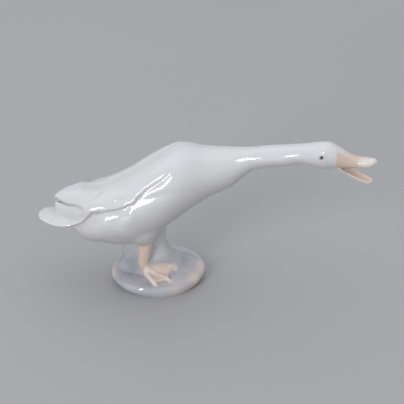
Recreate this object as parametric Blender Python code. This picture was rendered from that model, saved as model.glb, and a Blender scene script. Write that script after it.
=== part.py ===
"""Goose figurine, cast in one piece of glazed porcelain.

A goose stands on a round mound, leans forward and stretches its neck out to honk.
+X runs toward the beak, +Z up and -Y toward the goose's right side. The origin is
the centre of the mound's flat underside. All lengths are in metres.
"""
import math

import bmesh
import bpy
import numpy as np
from mathutils import Vector

# Fineness of the lofts and of the fused casting
RING_POINTS, LIMB_POINTS, SPINE_STEPS = 72, 24, 160
VOXEL, SOFTENING, BLENDING, TRIANGLES = 0.0005, 9, 120, 11700
CUT_MARGIN = 0.0015

# Vent hole and colour
VENT_DIAMETER, VENT_DEPTH, VENT_OFFSET = 0.0040, 0.0060, 0.0140
PORCELAIN = (0.80, 0.79, 0.80, 1.0)

# Mound under the feet. Its rim is a little oval and stands off the foot's middle.
BASE_LENGTH, BASE_BREADTH = 0.0648, 0.0608
BASE_SHIFT, BASE_SKEW = 0.0018, 0.06
BASE_FOOT_DIAMETER = 0.0540
BASE_EDGE_HEIGHT, BASE_TOP_HEIGHT = 0.0052, 0.0104
BASE_UNDER_CURVE, BASE_EDGE_CURVE = 0.70, 0.42
BASE_CROWN = 0.86

# Torso: place along X, height of the section's middle, width, rise and drop from the middle
BODY_SIDE = -0.0042
RUMP_X, RUMP_HEIGHT, RUMP_WIDTH, RUMP_RISE, RUMP_DROP = -0.0600, 0.0530, 0.020, 0.0090, 0.0050
SEAT_X, SEAT_HEIGHT, SEAT_WIDTH, SEAT_RISE, SEAT_DROP = -0.0500, 0.0500, 0.030, 0.0200, 0.0140
HIP_X, HIP_HEIGHT, HIP_WIDTH, HIP_RISE, HIP_DROP = -0.0370, 0.0535, 0.044, 0.0205, 0.0192
BELLY_X, BELLY_HEIGHT, BELLY_WIDTH, BELLY_RISE, BELLY_DROP = -0.0200, 0.0595, 0.051, 0.0226, 0.0266
CHEST_X, CHEST_HEIGHT, CHEST_WIDTH, CHEST_RISE, CHEST_DROP = -0.0010, 0.0703, 0.051, 0.0252, 0.0285
BREAST_X, BREAST_HEIGHT, BREAST_WIDTH, BREAST_RISE, BREAST_DROP = 0.0150, 0.0800, 0.047, 0.0252, 0.0259
CROP_X, CROP_HEIGHT, CROP_WIDTH, CROP_RISE, CROP_DROP = 0.0330, 0.0857, 0.034, 0.0180, 0.0185
NAPE_X, NAPE_HEIGHT, NAPE_WIDTH, NAPE_RISE, NAPE_DROP = 0.0500, 0.0908, 0.0236, 0.0139, 0.0143

# Neck and head, set out along the neck, which turns toward the goose's right
NECK_X, NECK_SIDE, NECK_HEIGHT = 0.0632, -0.0106, 0.0985
NECK_TURN = math.radians(-18)
NECK_LENGTH, NECK_CLIMB = 0.0347, 0.0099
NECK_WIDTH, NECK_DEPTH = 0.0148, 0.0150
HEAD_LENGTH, HEAD_CLIMB = 0.0160, 0.0015
HEAD_WIDTH, HEAD_DEPTH = 0.0164, 0.0194
EYE_DIAMETER, EYE_PROUD = 0.0036, 0.0005
EYE_FORWARD, EYE_RISE = 0.0143, 0.0025

# Beak, open to honk
BEAK_START, BEAK_LENGTH = 0.0224, 0.0280
BEAK_ROOT_WIDTH, BEAK_ROOT_DEPTH = 0.0130, 0.0158
BEAK_MIDDLE_WIDTH, BEAK_MIDDLE_DEPTH, BEAK_DIP = 0.0098, 0.0084, 0.0014
BEAK_TIP_WIDTH, BEAK_TIP_DEPTH, BEAK_TIP_LIFT = 0.0088, 0.0058, 0.0005
JAW_START, JAW_LENGTH, JAW_DROP = 0.0222, 0.0252, 0.0052
JAW_WIDTH, JAW_DEPTH, JAW_CURL = 0.0090, 0.0041, 0.0006
JAW_OPENING = math.radians(19.5)
JAW_TROUGH = 0.0022

# Folded wings: half arches over the back. Each has a covering layer and long blades.
WING_THICKNESS, WING_PROUD = 0.0056, 0.0024
BLADE_THICKNESS, LAYER_STEP = 0.0022, 0.0016
WING_VALLEY, VALLEY_WIDTH = 0.0009, 0.0095
WING_FRONT_X, WING_FRONT_HEIGHT = 0.0175, 0.0985
WING_BEND_X, WING_BEND_HEIGHT = -0.0050, 0.0845
WING_CORNER_X, WING_CORNER_HEIGHT = -0.0155, 0.0740
WING_REAR_X, WING_REAR_HEIGHT = -0.0500, 0.0600
WING_TUCK, WING_OVERLAP = 0.0260, math.radians(7)
TIP_X, TIP_HEIGHT = -0.0692, 0.0673
REAR_ARCH_HEIGHT, REAR_ARCH_RISE = 0.0596, 0.0166

# Creases of the plumage: depth and reach of each hollow, and the length of the free ones
FEATHER_CREASE, FEATHER_CREASE_WIDTH, FEATHER_RUN = 0.0007, 0.0013, 0.0154
BREAST_CREASE, BREAST_CREASE_WIDTH, BREAST_RUN = 0.0008, 0.0026, 0.0270
SHOULDER_CREASE, SHOULDER_CREASE_WIDTH, SHOULDER_RUN = 0.0007, 0.0016, 0.0270
ARMPIT, ARMPIT_WIDTH = 0.0009, 0.0024
THIGH_HOLLOW, THIGH_HOLLOW_WIDTH = 0.0005, 0.0040
BLEND_REACH = 0.0100

# Tail
TAIL_X, TAIL_WIDTH, TAIL_THICKNESS = -0.0805, 0.0264, 0.0018
TAIL_TIP_HEIGHT, TAIL_EDGE_HEIGHT, TAIL_CROWN, TAIL_ROOT = 0.0528, 0.0508, 0.0040, 0.0060
COVERT_X, COVERT_WIDTH, COVERT_HEIGHT = -0.0690, 0.0190, 0.0640
COVERT_FULLNESS = 0.55

# Stand of flowing folds between belly and mound
STAND_X, STAND_SIDE, STAND_TOP = -0.0092, 0.0020, 0.0460
STAND_WIDTH, STAND_DEPTH, STAND_WAIST_HEIGHT = 0.0295, 0.0185, 0.0300
STAND_SKIRT_WIDTH, STAND_SKIRT_DEPTH, STAND_SKIRT_SHIFT = 0.0560, 0.0380, 0.0086
FOLD_COUNT, FOLD_DEPTH, FOLD_TWIST = 30, 0.032, 1.6

# Legs and webbed feet
THIGH_X, THIGH_SPREAD, THIGH_HEIGHT = -0.0110, 0.0170, 0.0520
THIGH_LENGTH, THIGH_WIDTH, THIGH_DEPTH = 0.0280, 0.0260, 0.0355
LEG_DIAMETER, LEG_SPREAD, LEG_X, LEG_LENGTH = 0.0090, 0.0250, -0.0087, 0.0320
HEEL_X, HEEL_SPREAD, HEEL_HEIGHT = -0.0099, 0.0230, 0.0150
FOOT_LENGTH, FOOT_TURN, TOE_SPREAD = 0.0206, math.radians(28), math.radians(32)
OUTER_TOE, INNER_TOE, WEB_NOTCH = 0.825, 1.04, 0.13
TOE_DIAMETER, WEB_THICKNESS = 0.0034, 0.0014


def smooth_through(keys, values, at):
    """Value at a place on the smooth curve through the given points."""
    if at <= keys[0]:
        return values[0]
    if at >= keys[-1]:
        return values[-1]
    k = max(i for i in range(len(keys) - 1) if keys[i] <= at)

    def slope(i):
        low, high = max(i - 1, 0), min(i + 1, len(keys) - 1)
        return (values[high] - values[low]) / (keys[high] - keys[low])

    span = keys[k + 1] - keys[k]
    t = (at - keys[k]) / span
    start = values[k] * (2 * t**3 - 3 * t**2 + 1) + slope(k) * span * (t**3 - 2 * t**2 + t)
    return start + values[k + 1] * (3 * t**2 - 2 * t**3) + slope(k + 1) * span * (t**3 - t**2)


def along(stations, at):
    """All the values of a list of stations, whose first value is their place."""
    columns = list(zip(*stations))
    return [smooth_through(columns[0], column, at) for column in columns[1:]]


def evenly(low, high, count):
    """Places from low to high, count of them."""
    return [low + (high - low) * k / (count - 1) for k in range(count)]


def ramp(value, low, high):
    """0 at low, 1 at high and smooth between, also where high is below low."""
    t = min(1.0, max(0.0, (value - low) / (high - low)))
    return t * t * (3 - 2 * t)


def even_rows(rows):
    """Rows of two values, set evenly along the smooth curve through a few of them."""
    return [(place, along(rows, place)[0]) for place in evenly(rows[0][0], rows[-1][0], 13)]


def loft(name, rings):
    """Closed solid through rings that all have the same number of points."""
    mesh = bmesh.new()
    rows = [[mesh.verts.new(p) for p in ring] for ring in rings]
    count = len(rows[0])
    for low, high in zip(rows, rows[1:]):
        for k in range(count):
            after = (k + 1) % count
            mesh.faces.new((low[k], low[after], high[after], high[k]))
    mesh.faces.new(rows[0][::-1])
    mesh.faces.new(rows[-1])
    bmesh.ops.recalc_face_normals(mesh, faces=mesh.faces)
    data = bpy.data.meshes.new(name)
    mesh.to_mesh(data)
    mesh.free()
    thing = bpy.data.objects.new(name, data)
    bpy.context.collection.objects.link(thing)
    return thing


def upright_ring(centre, turn, wide, rise, drop):
    """Egg-shaped section in an upright plane that faces along the given turn."""
    side = Vector((-math.sin(turn), math.cos(turn), 0))
    ring = []
    for angle in evenly(0, 2 * math.pi, RING_POINTS + 1)[:-1]:
        height = math.cos(angle) * (rise if math.cos(angle) > 0 else drop)
        ring.append(centre + side * (wide * math.sin(angle)) + Vector((0, 0, height)))
    return ring


def full_ring(centre, wide, rise, drop, fullness):
    """Upright section with squarer shoulders: the lower the fullness, the squarer."""
    ring = []
    for angle in evenly(0, 2 * math.pi, RING_POINTS + 1)[:-1]:
        across, up = math.sin(angle), math.cos(angle)
        across = math.copysign(abs(across) ** fullness, across)
        up = math.copysign(abs(up) ** fullness, up)
        ring.append(centre + Vector((0, wide * across, up * (rise if up > 0 else drop))))
    return ring


def tube(name, points, radii):
    """Round limb through points, closed at its ends."""
    rings = []
    for k, (point, radius) in enumerate(zip(points, radii)):
        ahead = points[min(k + 1, len(points) - 1)] - points[max(k - 1, 0)]
        turn = ahead.to_track_quat("Z", "X")
        ring = []
        for angle in evenly(0, 2 * math.pi, LIMB_POINTS + 1)[:-1]:
            ring.append(point + turn @ Vector((radius * math.cos(angle), radius * math.sin(angle), 0)))
        rings.append(ring)
    return loft(name, rings)


def neck_point(forward, side, height):
    """Point set out along the turned neck, from where the neck starts."""
    ahead = Vector((math.cos(NECK_TURN), math.sin(NECK_TURN), 0))
    across = Vector((-math.sin(NECK_TURN), math.cos(NECK_TURN), 0))
    start = Vector((NECK_X, NECK_SIDE, NECK_HEIGHT))
    return start + ahead * forward + across * side + Vector((0, 0, height))


def torso_rows():
    """Sections of the torso: place along X, height of the middle, width, rise, drop."""
    return [
        (RUMP_X, RUMP_HEIGHT, RUMP_WIDTH, RUMP_RISE, RUMP_DROP),
        (SEAT_X, SEAT_HEIGHT, SEAT_WIDTH, SEAT_RISE, SEAT_DROP),
        (HIP_X, HIP_HEIGHT, HIP_WIDTH, HIP_RISE, HIP_DROP),
        (BELLY_X, BELLY_HEIGHT, BELLY_WIDTH, BELLY_RISE, BELLY_DROP),
        (CHEST_X, CHEST_HEIGHT, CHEST_WIDTH, CHEST_RISE, CHEST_DROP),
        (BREAST_X, BREAST_HEIGHT, BREAST_WIDTH, BREAST_RISE, BREAST_DROP),
        (CROP_X, CROP_HEIGHT, CROP_WIDTH, CROP_RISE, CROP_DROP),
        (NAPE_X, NAPE_HEIGHT, NAPE_WIDTH, NAPE_RISE, NAPE_DROP),
    ]


def torso_stations():
    """The same sections as centre, turn, half width, rise and drop. The last ones turn to the neck."""
    stations = []
    for x, height, width, rise, drop in torso_rows():
        bend = max(0.0, (x - CROP_X) / (NECK_X - CROP_X))
        side = BODY_SIDE + (NECK_SIDE - BODY_SIDE) * bend ** 1.6
        stations.append((Vector((x, side, height)), NECK_TURN * bend, width / 2, rise, drop))
    return stations


def head_stations():
    """Sections of neck, head and upper beak, of the same kind."""
    head = NECK_LENGTH + HEAD_LENGTH
    level = NECK_CLIMB + HEAD_CLIMB
    beak = NECK_LENGTH + BEAK_START
    tip = beak + BEAK_LENGTH
    tip_level = level + BEAK_TIP_LIFT
    rows = [
        (0, 0, NECK_WIDTH * 1.12, NECK_DEPTH * 1.15),
        (NECK_LENGTH * 0.25, NECK_CLIMB * 0.33, NECK_WIDTH, NECK_DEPTH * 1.05),
        (NECK_LENGTH * 0.70, NECK_CLIMB * 0.72, NECK_WIDTH, NECK_DEPTH),
        (NECK_LENGTH, NECK_CLIMB, NECK_WIDTH * 0.96, NECK_DEPTH * 0.95),
        (head, level, HEAD_WIDTH, HEAD_DEPTH),
        (beak, level, BEAK_ROOT_WIDTH, BEAK_ROOT_DEPTH),
        (beak + BEAK_LENGTH * 0.42, level - BEAK_DIP, BEAK_MIDDLE_WIDTH, BEAK_MIDDLE_DEPTH),
        (tip - BEAK_TIP_WIDTH * 0.58, tip_level - BEAK_DIP * 0.6, BEAK_TIP_WIDTH, BEAK_TIP_DEPTH),
        (tip - BEAK_TIP_WIDTH * 0.22, tip_level, BEAK_TIP_WIDTH * 0.72, BEAK_TIP_DEPTH * 0.75),
        (tip, tip_level, BEAK_TIP_WIDTH * 0.2, BEAK_TIP_DEPTH * 0.2),
    ]
    stations = []
    for forward, height, width, depth in rows:
        stations.append((neck_point(forward, 0, height), NECK_TURN, width / 2, depth / 2, depth / 2))
    return stations


def body():
    """Torso, neck, head and upper beak in one loft along a bent spine."""
    stations = torso_stations() + head_stations()
    keys = [0.0]
    for before, after in zip(stations, stations[1:]):
        keys.append(keys[-1] + (after[0] - before[0]).length)
    keyed = [(key, *station) for key, station in zip(keys, stations)]
    return loft("body", [upright_ring(*along(keyed, at)) for at in evenly(0, keys[-1], SPINE_STEPS)])


def jaw():
    """Lower beak: a trough that hangs open from the corner of the mouth."""
    hinge = NECK_LENGTH + JAW_START
    corner = NECK_CLIMB + HEAD_CLIMB - JAW_DROP
    rings = []
    for t in evenly(0, math.pi / 2, 48):
        share = math.sin(t)
        reach = JAW_LENGTH * share
        height = corner - reach * math.tan(JAW_OPENING) + JAW_CURL * share**4
        narrow = 0.06 + 0.94 * math.sqrt(1 - share**8)
        wide = JAW_WIDTH / 2 * narrow
        deep = JAW_DEPTH * (0.45 + 0.55 * ramp(share, 0, 0.6)) * (0.4 + 0.6 * narrow)
        dip = min(JAW_TROUGH, deep * 0.6) * ramp(share, 0, 0.4) * ramp(share, 1, 0.93)
        ring = []
        for angle in evenly(0, math.pi, 25):
            ring.append(neck_point(hinge + reach, wide * math.cos(angle), height - deep * math.sin(angle)))
        for across in evenly(-0.98, 0.98, 17):
            hollow = dip * (1 - ramp(abs(across), 0.45, 0.80))
            ring.append(neck_point(hinge + reach, wide * across, height - hollow))
        rings.append(ring)
    return loft("jaw", rings)


def eye_centre(side):
    """Middle of an eye; side is -1 for the right and 1 for the left."""
    lift = math.sqrt(1 - (2 * EYE_RISE / HEAD_DEPTH) ** 2)
    offset = side * (HEAD_WIDTH / 2 * lift + EYE_PROUD - EYE_DIAMETER * 0.3)
    return neck_point(NECK_LENGTH + EYE_FORWARD, offset, NECK_CLIMB + HEAD_CLIMB + EYE_RISE)


def eye(side):
    """Small round swelling for an eye."""
    heights = evenly(-0.998, 0.998, 15)
    points = [eye_centre(side) + Vector((0, 0, EYE_DIAMETER / 2 * height)) for height in heights]
    return tube("eye", points, [EYE_DIAMETER / 2 * math.sqrt(1 - height**2) for height in heights])


def arch_stations():
    """Arches that the wings follow: place along X, height of the middle, half width, rise."""
    run, sag = WING_REAR_X - TIP_X, TIP_HEIGHT - REAR_ARCH_HEIGHT
    wide, rise = SEAT_WIDTH / 2 + WING_PROUD * 0.65, REAR_ARCH_RISE
    tip = [
        (0.0, 0.0, 0.06, 0.07),
        (0.156, 0.17, 0.28, 0.265),
        (0.375, 0.455, 0.505, 0.53),
        (0.74, 0.65, 0.77, 0.745),
        (1.0, 1.0, 1.0, 1.0),
    ]
    rows = [(TIP_X + run * on, TIP_HEIGHT - sag * low, wide * out, rise * up) for on, low, out, up in tip]
    proud, front = WING_PROUD, WING_PROUD * 1.25
    return rows + [
        (HIP_X, HIP_HEIGHT + proud * 0.85, HIP_WIDTH / 2 + proud * 0.85, HIP_RISE + proud * 0.4),
        (BELLY_X, BELLY_HEIGHT, BELLY_WIDTH / 2 + proud, BELLY_RISE + proud),
        (CHEST_X, CHEST_HEIGHT, CHEST_WIDTH / 2 + proud * 0.8, CHEST_RISE + proud * 0.85),
        (BREAST_X, BREAST_HEIGHT, BREAST_WIDTH / 2 + proud * 0.1, BREAST_RISE + proud * 0.2),
        (WING_FRONT_X + front, BREAST_HEIGHT + proud * 0.4, BREAST_WIDTH / 2 - front, BREAST_RISE - front),
    ]


def arch_point(x, angle, side, depth=0.0):
    """Point on the arch at x, at an angle from the top, and a depth under its surface."""
    middle, wide, rise = along(arch_stations(), x)
    across = (wide - depth) * math.sin(angle)
    valley = WING_VALLEY * ramp(x, BREAST_X, CHEST_X) * math.exp(-((2 * across / VALLEY_WIDTH) ** 2))
    return Vector((x, BODY_SIDE + side * across, middle + (rise - depth) * math.cos(angle) - valley))


def arch_angle(x, height):
    """Angle on the arch at x that reaches down to a height."""
    middle, _, rise = along(arch_stations(), x)
    return math.acos(max(-1.0, min(1.0, (height - middle) / rise)))


def wing_strip(x, top, low, thickness, side, softness=9):
    """Section of a wing at x: a lens between two angles of the arch."""
    outer, inner = [], []
    for t in evenly(0, 1, 33):
        angle = top + (low - top) * t
        power = 9 if t < 0.5 else softness
        swell = math.sqrt(max(0.0, 1 - abs(2 * t - 1) ** power))
        outer.append(arch_point(x, angle, side, thickness / 2 * (1 - swell)))
        inner.append(arch_point(x, angle, side, thickness / 2 * (1 + swell)))
    return outer + inner[::-1]


def wing_edge():
    """Lower and leading edge of the covering layer: place along X and height."""
    climb = WING_CORNER_HEIGHT - WING_REAR_HEIGHT
    turn, rise = WING_BEND_X - WING_CORNER_X, WING_BEND_HEIGHT - WING_CORNER_HEIGHT
    return [
        (WING_REAR_X, WING_REAR_HEIGHT),
        (HIP_X, WING_REAR_HEIGHT + climb * 0.50),
        (BELLY_X, WING_REAR_HEIGHT + climb * 0.88),
        (WING_CORNER_X, WING_CORNER_HEIGHT),
        (WING_CORNER_X + turn * 0.30, WING_CORNER_HEIGHT + rise * 0.38),
        (WING_BEND_X, WING_BEND_HEIGHT),
        ((WING_BEND_X + WING_FRONT_X) / 2, (WING_BEND_HEIGHT + WING_FRONT_HEIGHT) / 2),
        (WING_FRONT_X, WING_FRONT_HEIGHT),
    ]


def wing(side):
    """Covering layer of a folded wing, from the shoulder to its curved rear edge."""
    edge = wing_edge()
    rear = [
        (WING_REAR_X, math.radians(80)),
        (WING_REAR_X + WING_TUCK * 0.06, math.radians(62)),
        (WING_REAR_X + WING_TUCK * 0.22, math.radians(44)),
        (WING_REAR_X + WING_TUCK * 0.50, math.radians(24)),
        (WING_REAR_X + WING_TUCK, -WING_OVERLAP),
    ]
    rings = []
    for x in evenly(WING_REAR_X, WING_FRONT_X, 150):
        low = arch_angle(x, along(edge, x)[0])
        top = min(along(rear, x)[0], low - WING_OVERLAP / 2)
        softness = 9 - 5 * ramp(x, WING_CORNER_X, WING_BEND_X)
        rings.append(wing_strip(x, top, low, WING_THICKNESS, side, softness))
    return loft("wing", rings)


def blade(side):
    """Long flight feathers of a wing, which run out over the tail to a point."""
    run = WING_REAR_X - TIP_X
    edge = [
        (TIP_X, math.radians(88)),
        (TIP_X + run * 0.31, math.radians(80)),
        (TIP_X + run * 0.74, math.radians(76)),
        (WING_REAR_X, math.radians(68)),
        (HIP_X, math.radians(60)),
    ]
    rings = []
    for x in evenly(TIP_X, BELLY_X, 80):
        low = along(edge, x)[0]
        covered = ramp(x, WING_REAR_X - LAYER_STEP * 2.5, WING_REAR_X + LAYER_STEP * 2.5)
        flush = ramp(x, WING_REAR_X + WING_TUCK * 0.3, WING_REAR_X + WING_TUCK * 0.75)
        sink = Vector((0, 0, LAYER_STEP * covered * (1 - flush)))
        strip = wing_strip(x, -WING_OVERLAP, low, BLADE_THICKNESS, side)
        rings.append([point - sink for point in strip])
    return loft("blade", rings)


def tail():
    """Fan of the tail: a crowned plate with a round end, whose sides rise to the wings."""
    length, root = WING_REAR_X - TAIL_X, WING_REAR_X + TAIL_ROOT
    tip, edge, rear, crown = TAIL_TIP_HEIGHT, TAIL_EDGE_HEIGHT, WING_REAR_HEIGHT, TAIL_CROWN
    rows = [
        (TAIL_X, 0.10, tip, crown * 0.1),
        (TAIL_X + length * 0.04, 0.40, tip, crown * 0.2),
        (TAIL_X + length * 0.10, 0.62, tip, crown * 0.35),
        (TAIL_X + length * 0.23, 0.84, tip - crown * 0.15, crown * 0.65),
        (TAIL_X + length * 0.49, 1.00, edge, crown),
        (TAIL_X + length * 0.76, 1.06, edge + crown * 0.3, crown * 1.7),
        (WING_REAR_X, 1.30, rear - crown * 0.75, crown * 1.6),
        (WING_REAR_X + TAIL_ROOT / 2, 1.38, rear + crown * 0.2, crown * 1.4),
        (root, 1.40, rear + crown * 0.65, crown),
    ]
    rings = []
    for x in evenly(TAIL_X, root, 70):
        spread, edge, crown = along(rows, x)
        wide = TAIL_WIDTH / 2 * spread
        heavy = 4 * ramp(x, TAIL_X, WING_REAR_X)
        over, under = [], []
        for q in evenly(-1, 1, 31):
            top = Vector((x, BODY_SIDE + wide * q, edge + crown * (1 - q * q)))
            thick = TAIL_THICKNESS * (1 + heavy * (1 - q * q)) * (1 - 0.6 * abs(q) ** 12)
            over.append(top)
            under.append(top - Vector((0, 0, thick)))
        rings.append(over + under[::-1])
    return loft("tail", rings)


def covert():
    """Rounded pad of short feathers that lies on the tail, under the wing tips."""
    foot = TAIL_EDGE_HEIGHT + TAIL_CROWN * 0.5
    rise, length = COVERT_HEIGHT - foot, SEAT_X - COVERT_X
    rows = [
        (COVERT_X, COVERT_WIDTH * 0.06, rise * 0.80),
        (COVERT_X + length * 0.04, COVERT_WIDTH * 0.17, rise * 0.92),
        (COVERT_X + length * 0.13, COVERT_WIDTH * 0.27, rise),
        (COVERT_X + length * 0.29, COVERT_WIDTH * 0.38, rise * 1.08),
        (RUMP_X, COVERT_WIDTH * 0.50, rise * 1.16),
        (SEAT_X, COVERT_WIDTH * 0.82, rise * 1.30),
    ]
    rings = []
    for x in evenly(COVERT_X, SEAT_X, 40):
        wide, high = along(rows, x)
        rings.append(full_ring(Vector((x, BODY_SIDE, foot)), wide, high, TAIL_CROWN, COVERT_FULLNESS))
    return loft("covert", rings)


def base_profile():
    """Mound from the foot up: share of the way in from the rim, share of the rim, height."""
    rim, crown = BASE_EDGE_HEIGHT, BASE_TOP_HEIGHT - BASE_EDGE_HEIGHT
    return [
        (1.00, 0.0, -2 * CUT_MARGIN),
        (1.00, 0.0, 0.0),
        (1.00, BASE_UNDER_CURVE, rim * 0.40),
        (1.00, 1.0, rim),
        (0.97, 1.0, rim + crown * BASE_EDGE_CURVE),
        (0.88, 1.0, rim + crown * (BASE_EDGE_CURVE + BASE_CROWN) / 2),
        (0.55, 1.0, rim + crown * BASE_CROWN),
        (0.05, 1.0, rim + crown),
    ]


def rim_point(share, out, angle, height):
    """Point of the mound: out is 0 on the foot's circle and 1 on the oval rim."""
    foot = Vector((math.cos(angle), math.sin(angle), 0)) * BASE_FOOT_DIAMETER / 2
    x = BASE_LENGTH / 2 * math.cos(angle)
    rim = Vector((x, BASE_SHIFT + BASE_SKEW * x + BASE_BREADTH / 2 * math.sin(angle), 0))
    middle = Vector((0, BASE_SHIFT, 0)) * out
    point = middle + (foot.lerp(rim, out) - middle) * share
    return point + Vector((0, 0, height))


def base():
    """Round mound with a full edge, undercut to a smaller foot."""
    rings = []
    for share, out, height in base_profile():
        rings.append([rim_point(share, out, angle, height) for angle in evenly(0, 2 * math.pi, 97)[:-1]])
    return loft("base", rings)


def stand_stations():
    """Level sections of the stand: height, middle along X, middle across, half sizes."""
    half, deep = STAND_WIDTH / 2, STAND_DEPTH / 2
    skirt, apron = STAND_SKIRT_WIDTH / 2 - half, STAND_SKIRT_DEPTH / 2 - deep
    foot, climb, shift = BASE_TOP_HEIGHT, STAND_WAIST_HEIGHT - BASE_TOP_HEIGHT, STAND_SKIRT_SHIFT
    rows = [
        (foot - climb * 0.255, 0.96, 1.05),
        (foot - climb * 0.05, 0.90, 0.92),
        (foot + climb * 0.08, 0.74, 0.68),
        (foot + climb * 0.26, 0.53, 0.43),
        (foot + climb * 0.49, 0.24, 0.20),
        (STAND_WAIST_HEIGHT, 0.0, 0.0),
        (STAND_TOP, 0.0, 0.12),
    ]
    stations = []
    for height, lean, out in rows:
        x, side = STAND_X + shift * lean, STAND_SIDE + shift * lean * 0.3
        stations.append((height, x, side, half + skirt * out, deep + apron * out))
    return stations


def stand():
    """Core of flowing folds that carries the belly and spreads out over the mound."""
    rows = stand_stations()
    climb = STAND_WAIST_HEIGHT - BASE_TOP_HEIGHT
    rings = []
    for height in evenly(rows[0][0], STAND_TOP, 70):
        x, side, wide, thick = along(rows, height)
        sway = FOLD_TWIST * math.cos(math.pi * height / STAND_TOP)
        deep = FOLD_DEPTH * ramp(height, BASE_TOP_HEIGHT + climb * 0.2, BASE_TOP_HEIGHT + climb * 0.5)
        ring = []
        for angle in evenly(0, 2 * math.pi, 241)[:-1]:
            front = ramp(math.cos(angle), 0.1, 0.6)
            fold = 1 + deep * front * math.cos(FOLD_COUNT * angle + sway * math.sin(angle) * 2)
            across = Vector((wide * math.cos(angle), thick * math.sin(angle), 0))
            ring.append(Vector((x, side, height)) + across * fold)
        rings.append(ring)
    return loft("stand", rings)


def ground_height(x, y):
    """Height of the mound and the stand's skirt under a point."""
    share = math.hypot(x / (BASE_LENGTH / 2), (y - BASE_SHIFT - BASE_SKEW * x) / (BASE_BREADTH / 2))
    domed = [(1 - row[0], row[2]) for row in base_profile()[3:]]
    ground = along(domed, 1 - share)[0]
    rows = stand_stations()
    for height in evenly(rows[1][0], HEEL_HEIGHT, 24):
        middle, side, wide, thick = along(rows, height)
        if math.hypot((x - middle) / wide, (y - side) / thick) < 1:
            ground = max(ground, height)
    return ground


def leg(side):
    """One leg, from inside the belly to the heel."""
    radius = LEG_DIAMETER / 2
    rows = [
        (0.0, HEEL_X, HEEL_SPREAD / 2, HEEL_HEIGHT - radius, radius * 0.72),
        (0.25, HEEL_X, HEEL_SPREAD / 2, HEEL_HEIGHT + LEG_LENGTH * 0.11, radius * 0.80),
        (0.5, LEG_X, LEG_SPREAD / 2, HEEL_HEIGHT + LEG_LENGTH * 0.44, radius),
        (1.0, LEG_X, LEG_SPREAD / 2, HEEL_HEIGHT + LEG_LENGTH, radius * 1.30),
    ]
    points, radii = [], []
    for t in evenly(0, 1, 24):
        x, spread, height, thick = along(rows, t)
        points.append(Vector((x, STAND_SIDE + side * spread, height)))
        radii.append(thick)
    return tube("leg", points, radii)


def thigh(side):
    """Swelling of the belly over a leg."""
    rings = []
    for angle in evenly(0.06, math.pi - 0.06, 30):
        x = THIGH_X - THIGH_LENGTH / 2 * math.cos(angle)
        centre = Vector((x, BODY_SIDE + side * THIGH_SPREAD / 2, THIGH_HEIGHT))
        round_off = math.sin(angle)
        depth = THIGH_DEPTH / 2 * round_off
        rings.append(upright_ring(centre, 0, THIGH_WIDTH / 2 * round_off, depth, depth))
    return loft("thigh", rings)


def heel_point(side):
    """Where the toes of a foot meet, on the ground plane."""
    return Vector((HEEL_X, STAND_SIDE + side * HEEL_SPREAD / 2, 0))


def toe_tips(side):
    """Ends of the three toes of a foot, from the outer to the inner one."""
    turns = ((FOOT_TURN + TOE_SPREAD, OUTER_TOE), (FOOT_TURN, 1.0), (FOOT_TURN - TOE_SPREAD, INNER_TOE))
    tips = []
    for turn, reach in turns:
        ahead = Vector((math.cos(turn), side * math.sin(turn), 0))
        tips.append(heel_point(side) + ahead * FOOT_LENGTH * reach)
    return tips


def on_ground(point, lift):
    """The point moved to a lift above the mound and skirt."""
    return Vector((point.x, point.y, ground_height(point.x, point.y) + lift))


def toe(side, tip):
    """One toe, which lies along the ground from heel to tip."""
    points, radii = [], []
    for t in evenly(0, 1, 22):
        points.append(on_ground(heel_point(side).lerp(tip, t), WEB_THICKNESS * 0.6))
        radii.append(TOE_DIAMETER / 2 * (1.5 - 0.8 * math.sqrt(t)) * math.sqrt(1 - 0.9 * t**12))
    return tube("toe", points, radii)


def web(side):
    """Skin between the toes of a foot, with hollow edges from tip to tip."""
    heel, tips = heel_point(side), toe_tips(side)
    edge = []
    for before, after in zip(tips, tips[1:]):
        for t in evenly(0, 1, 9):
            edge.append(before.lerp(after, t).lerp(heel, WEB_NOTCH * 4 * t * (1 - t)))
    rings = []
    for t in evenly(0.04, 0.98, 18):
        over = [on_ground(heel.lerp(point, t), WEB_THICKNESS) for point in edge]
        under = [point - Vector((0, 0, WEB_THICKNESS + TOE_DIAMETER)) for point in reversed(over)]
        rings.append(over + under)
    return loft("web", rings)


def forms():
    """All the forms that the casting is melted from."""
    made = [body(), jaw(), tail(), covert(), base(), stand()]
    for side in (-1, 1):
        made += [eye(side), wing(side), blade(side), thigh(side), leg(side), web(side)]
        made += [toe(side, tip) for tip in toe_tips(side)]
    return made


def flank_point(x, height, side):
    """Point on the torso's side at a place along X and a height."""
    middle, width, rise, drop = along(torso_rows(), x)
    reach = (height - middle) / (rise if height > middle else drop)
    return Vector((x, BODY_SIDE + side * width / 2 * math.sqrt(max(0.0, 1 - reach**2)), height))


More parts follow.
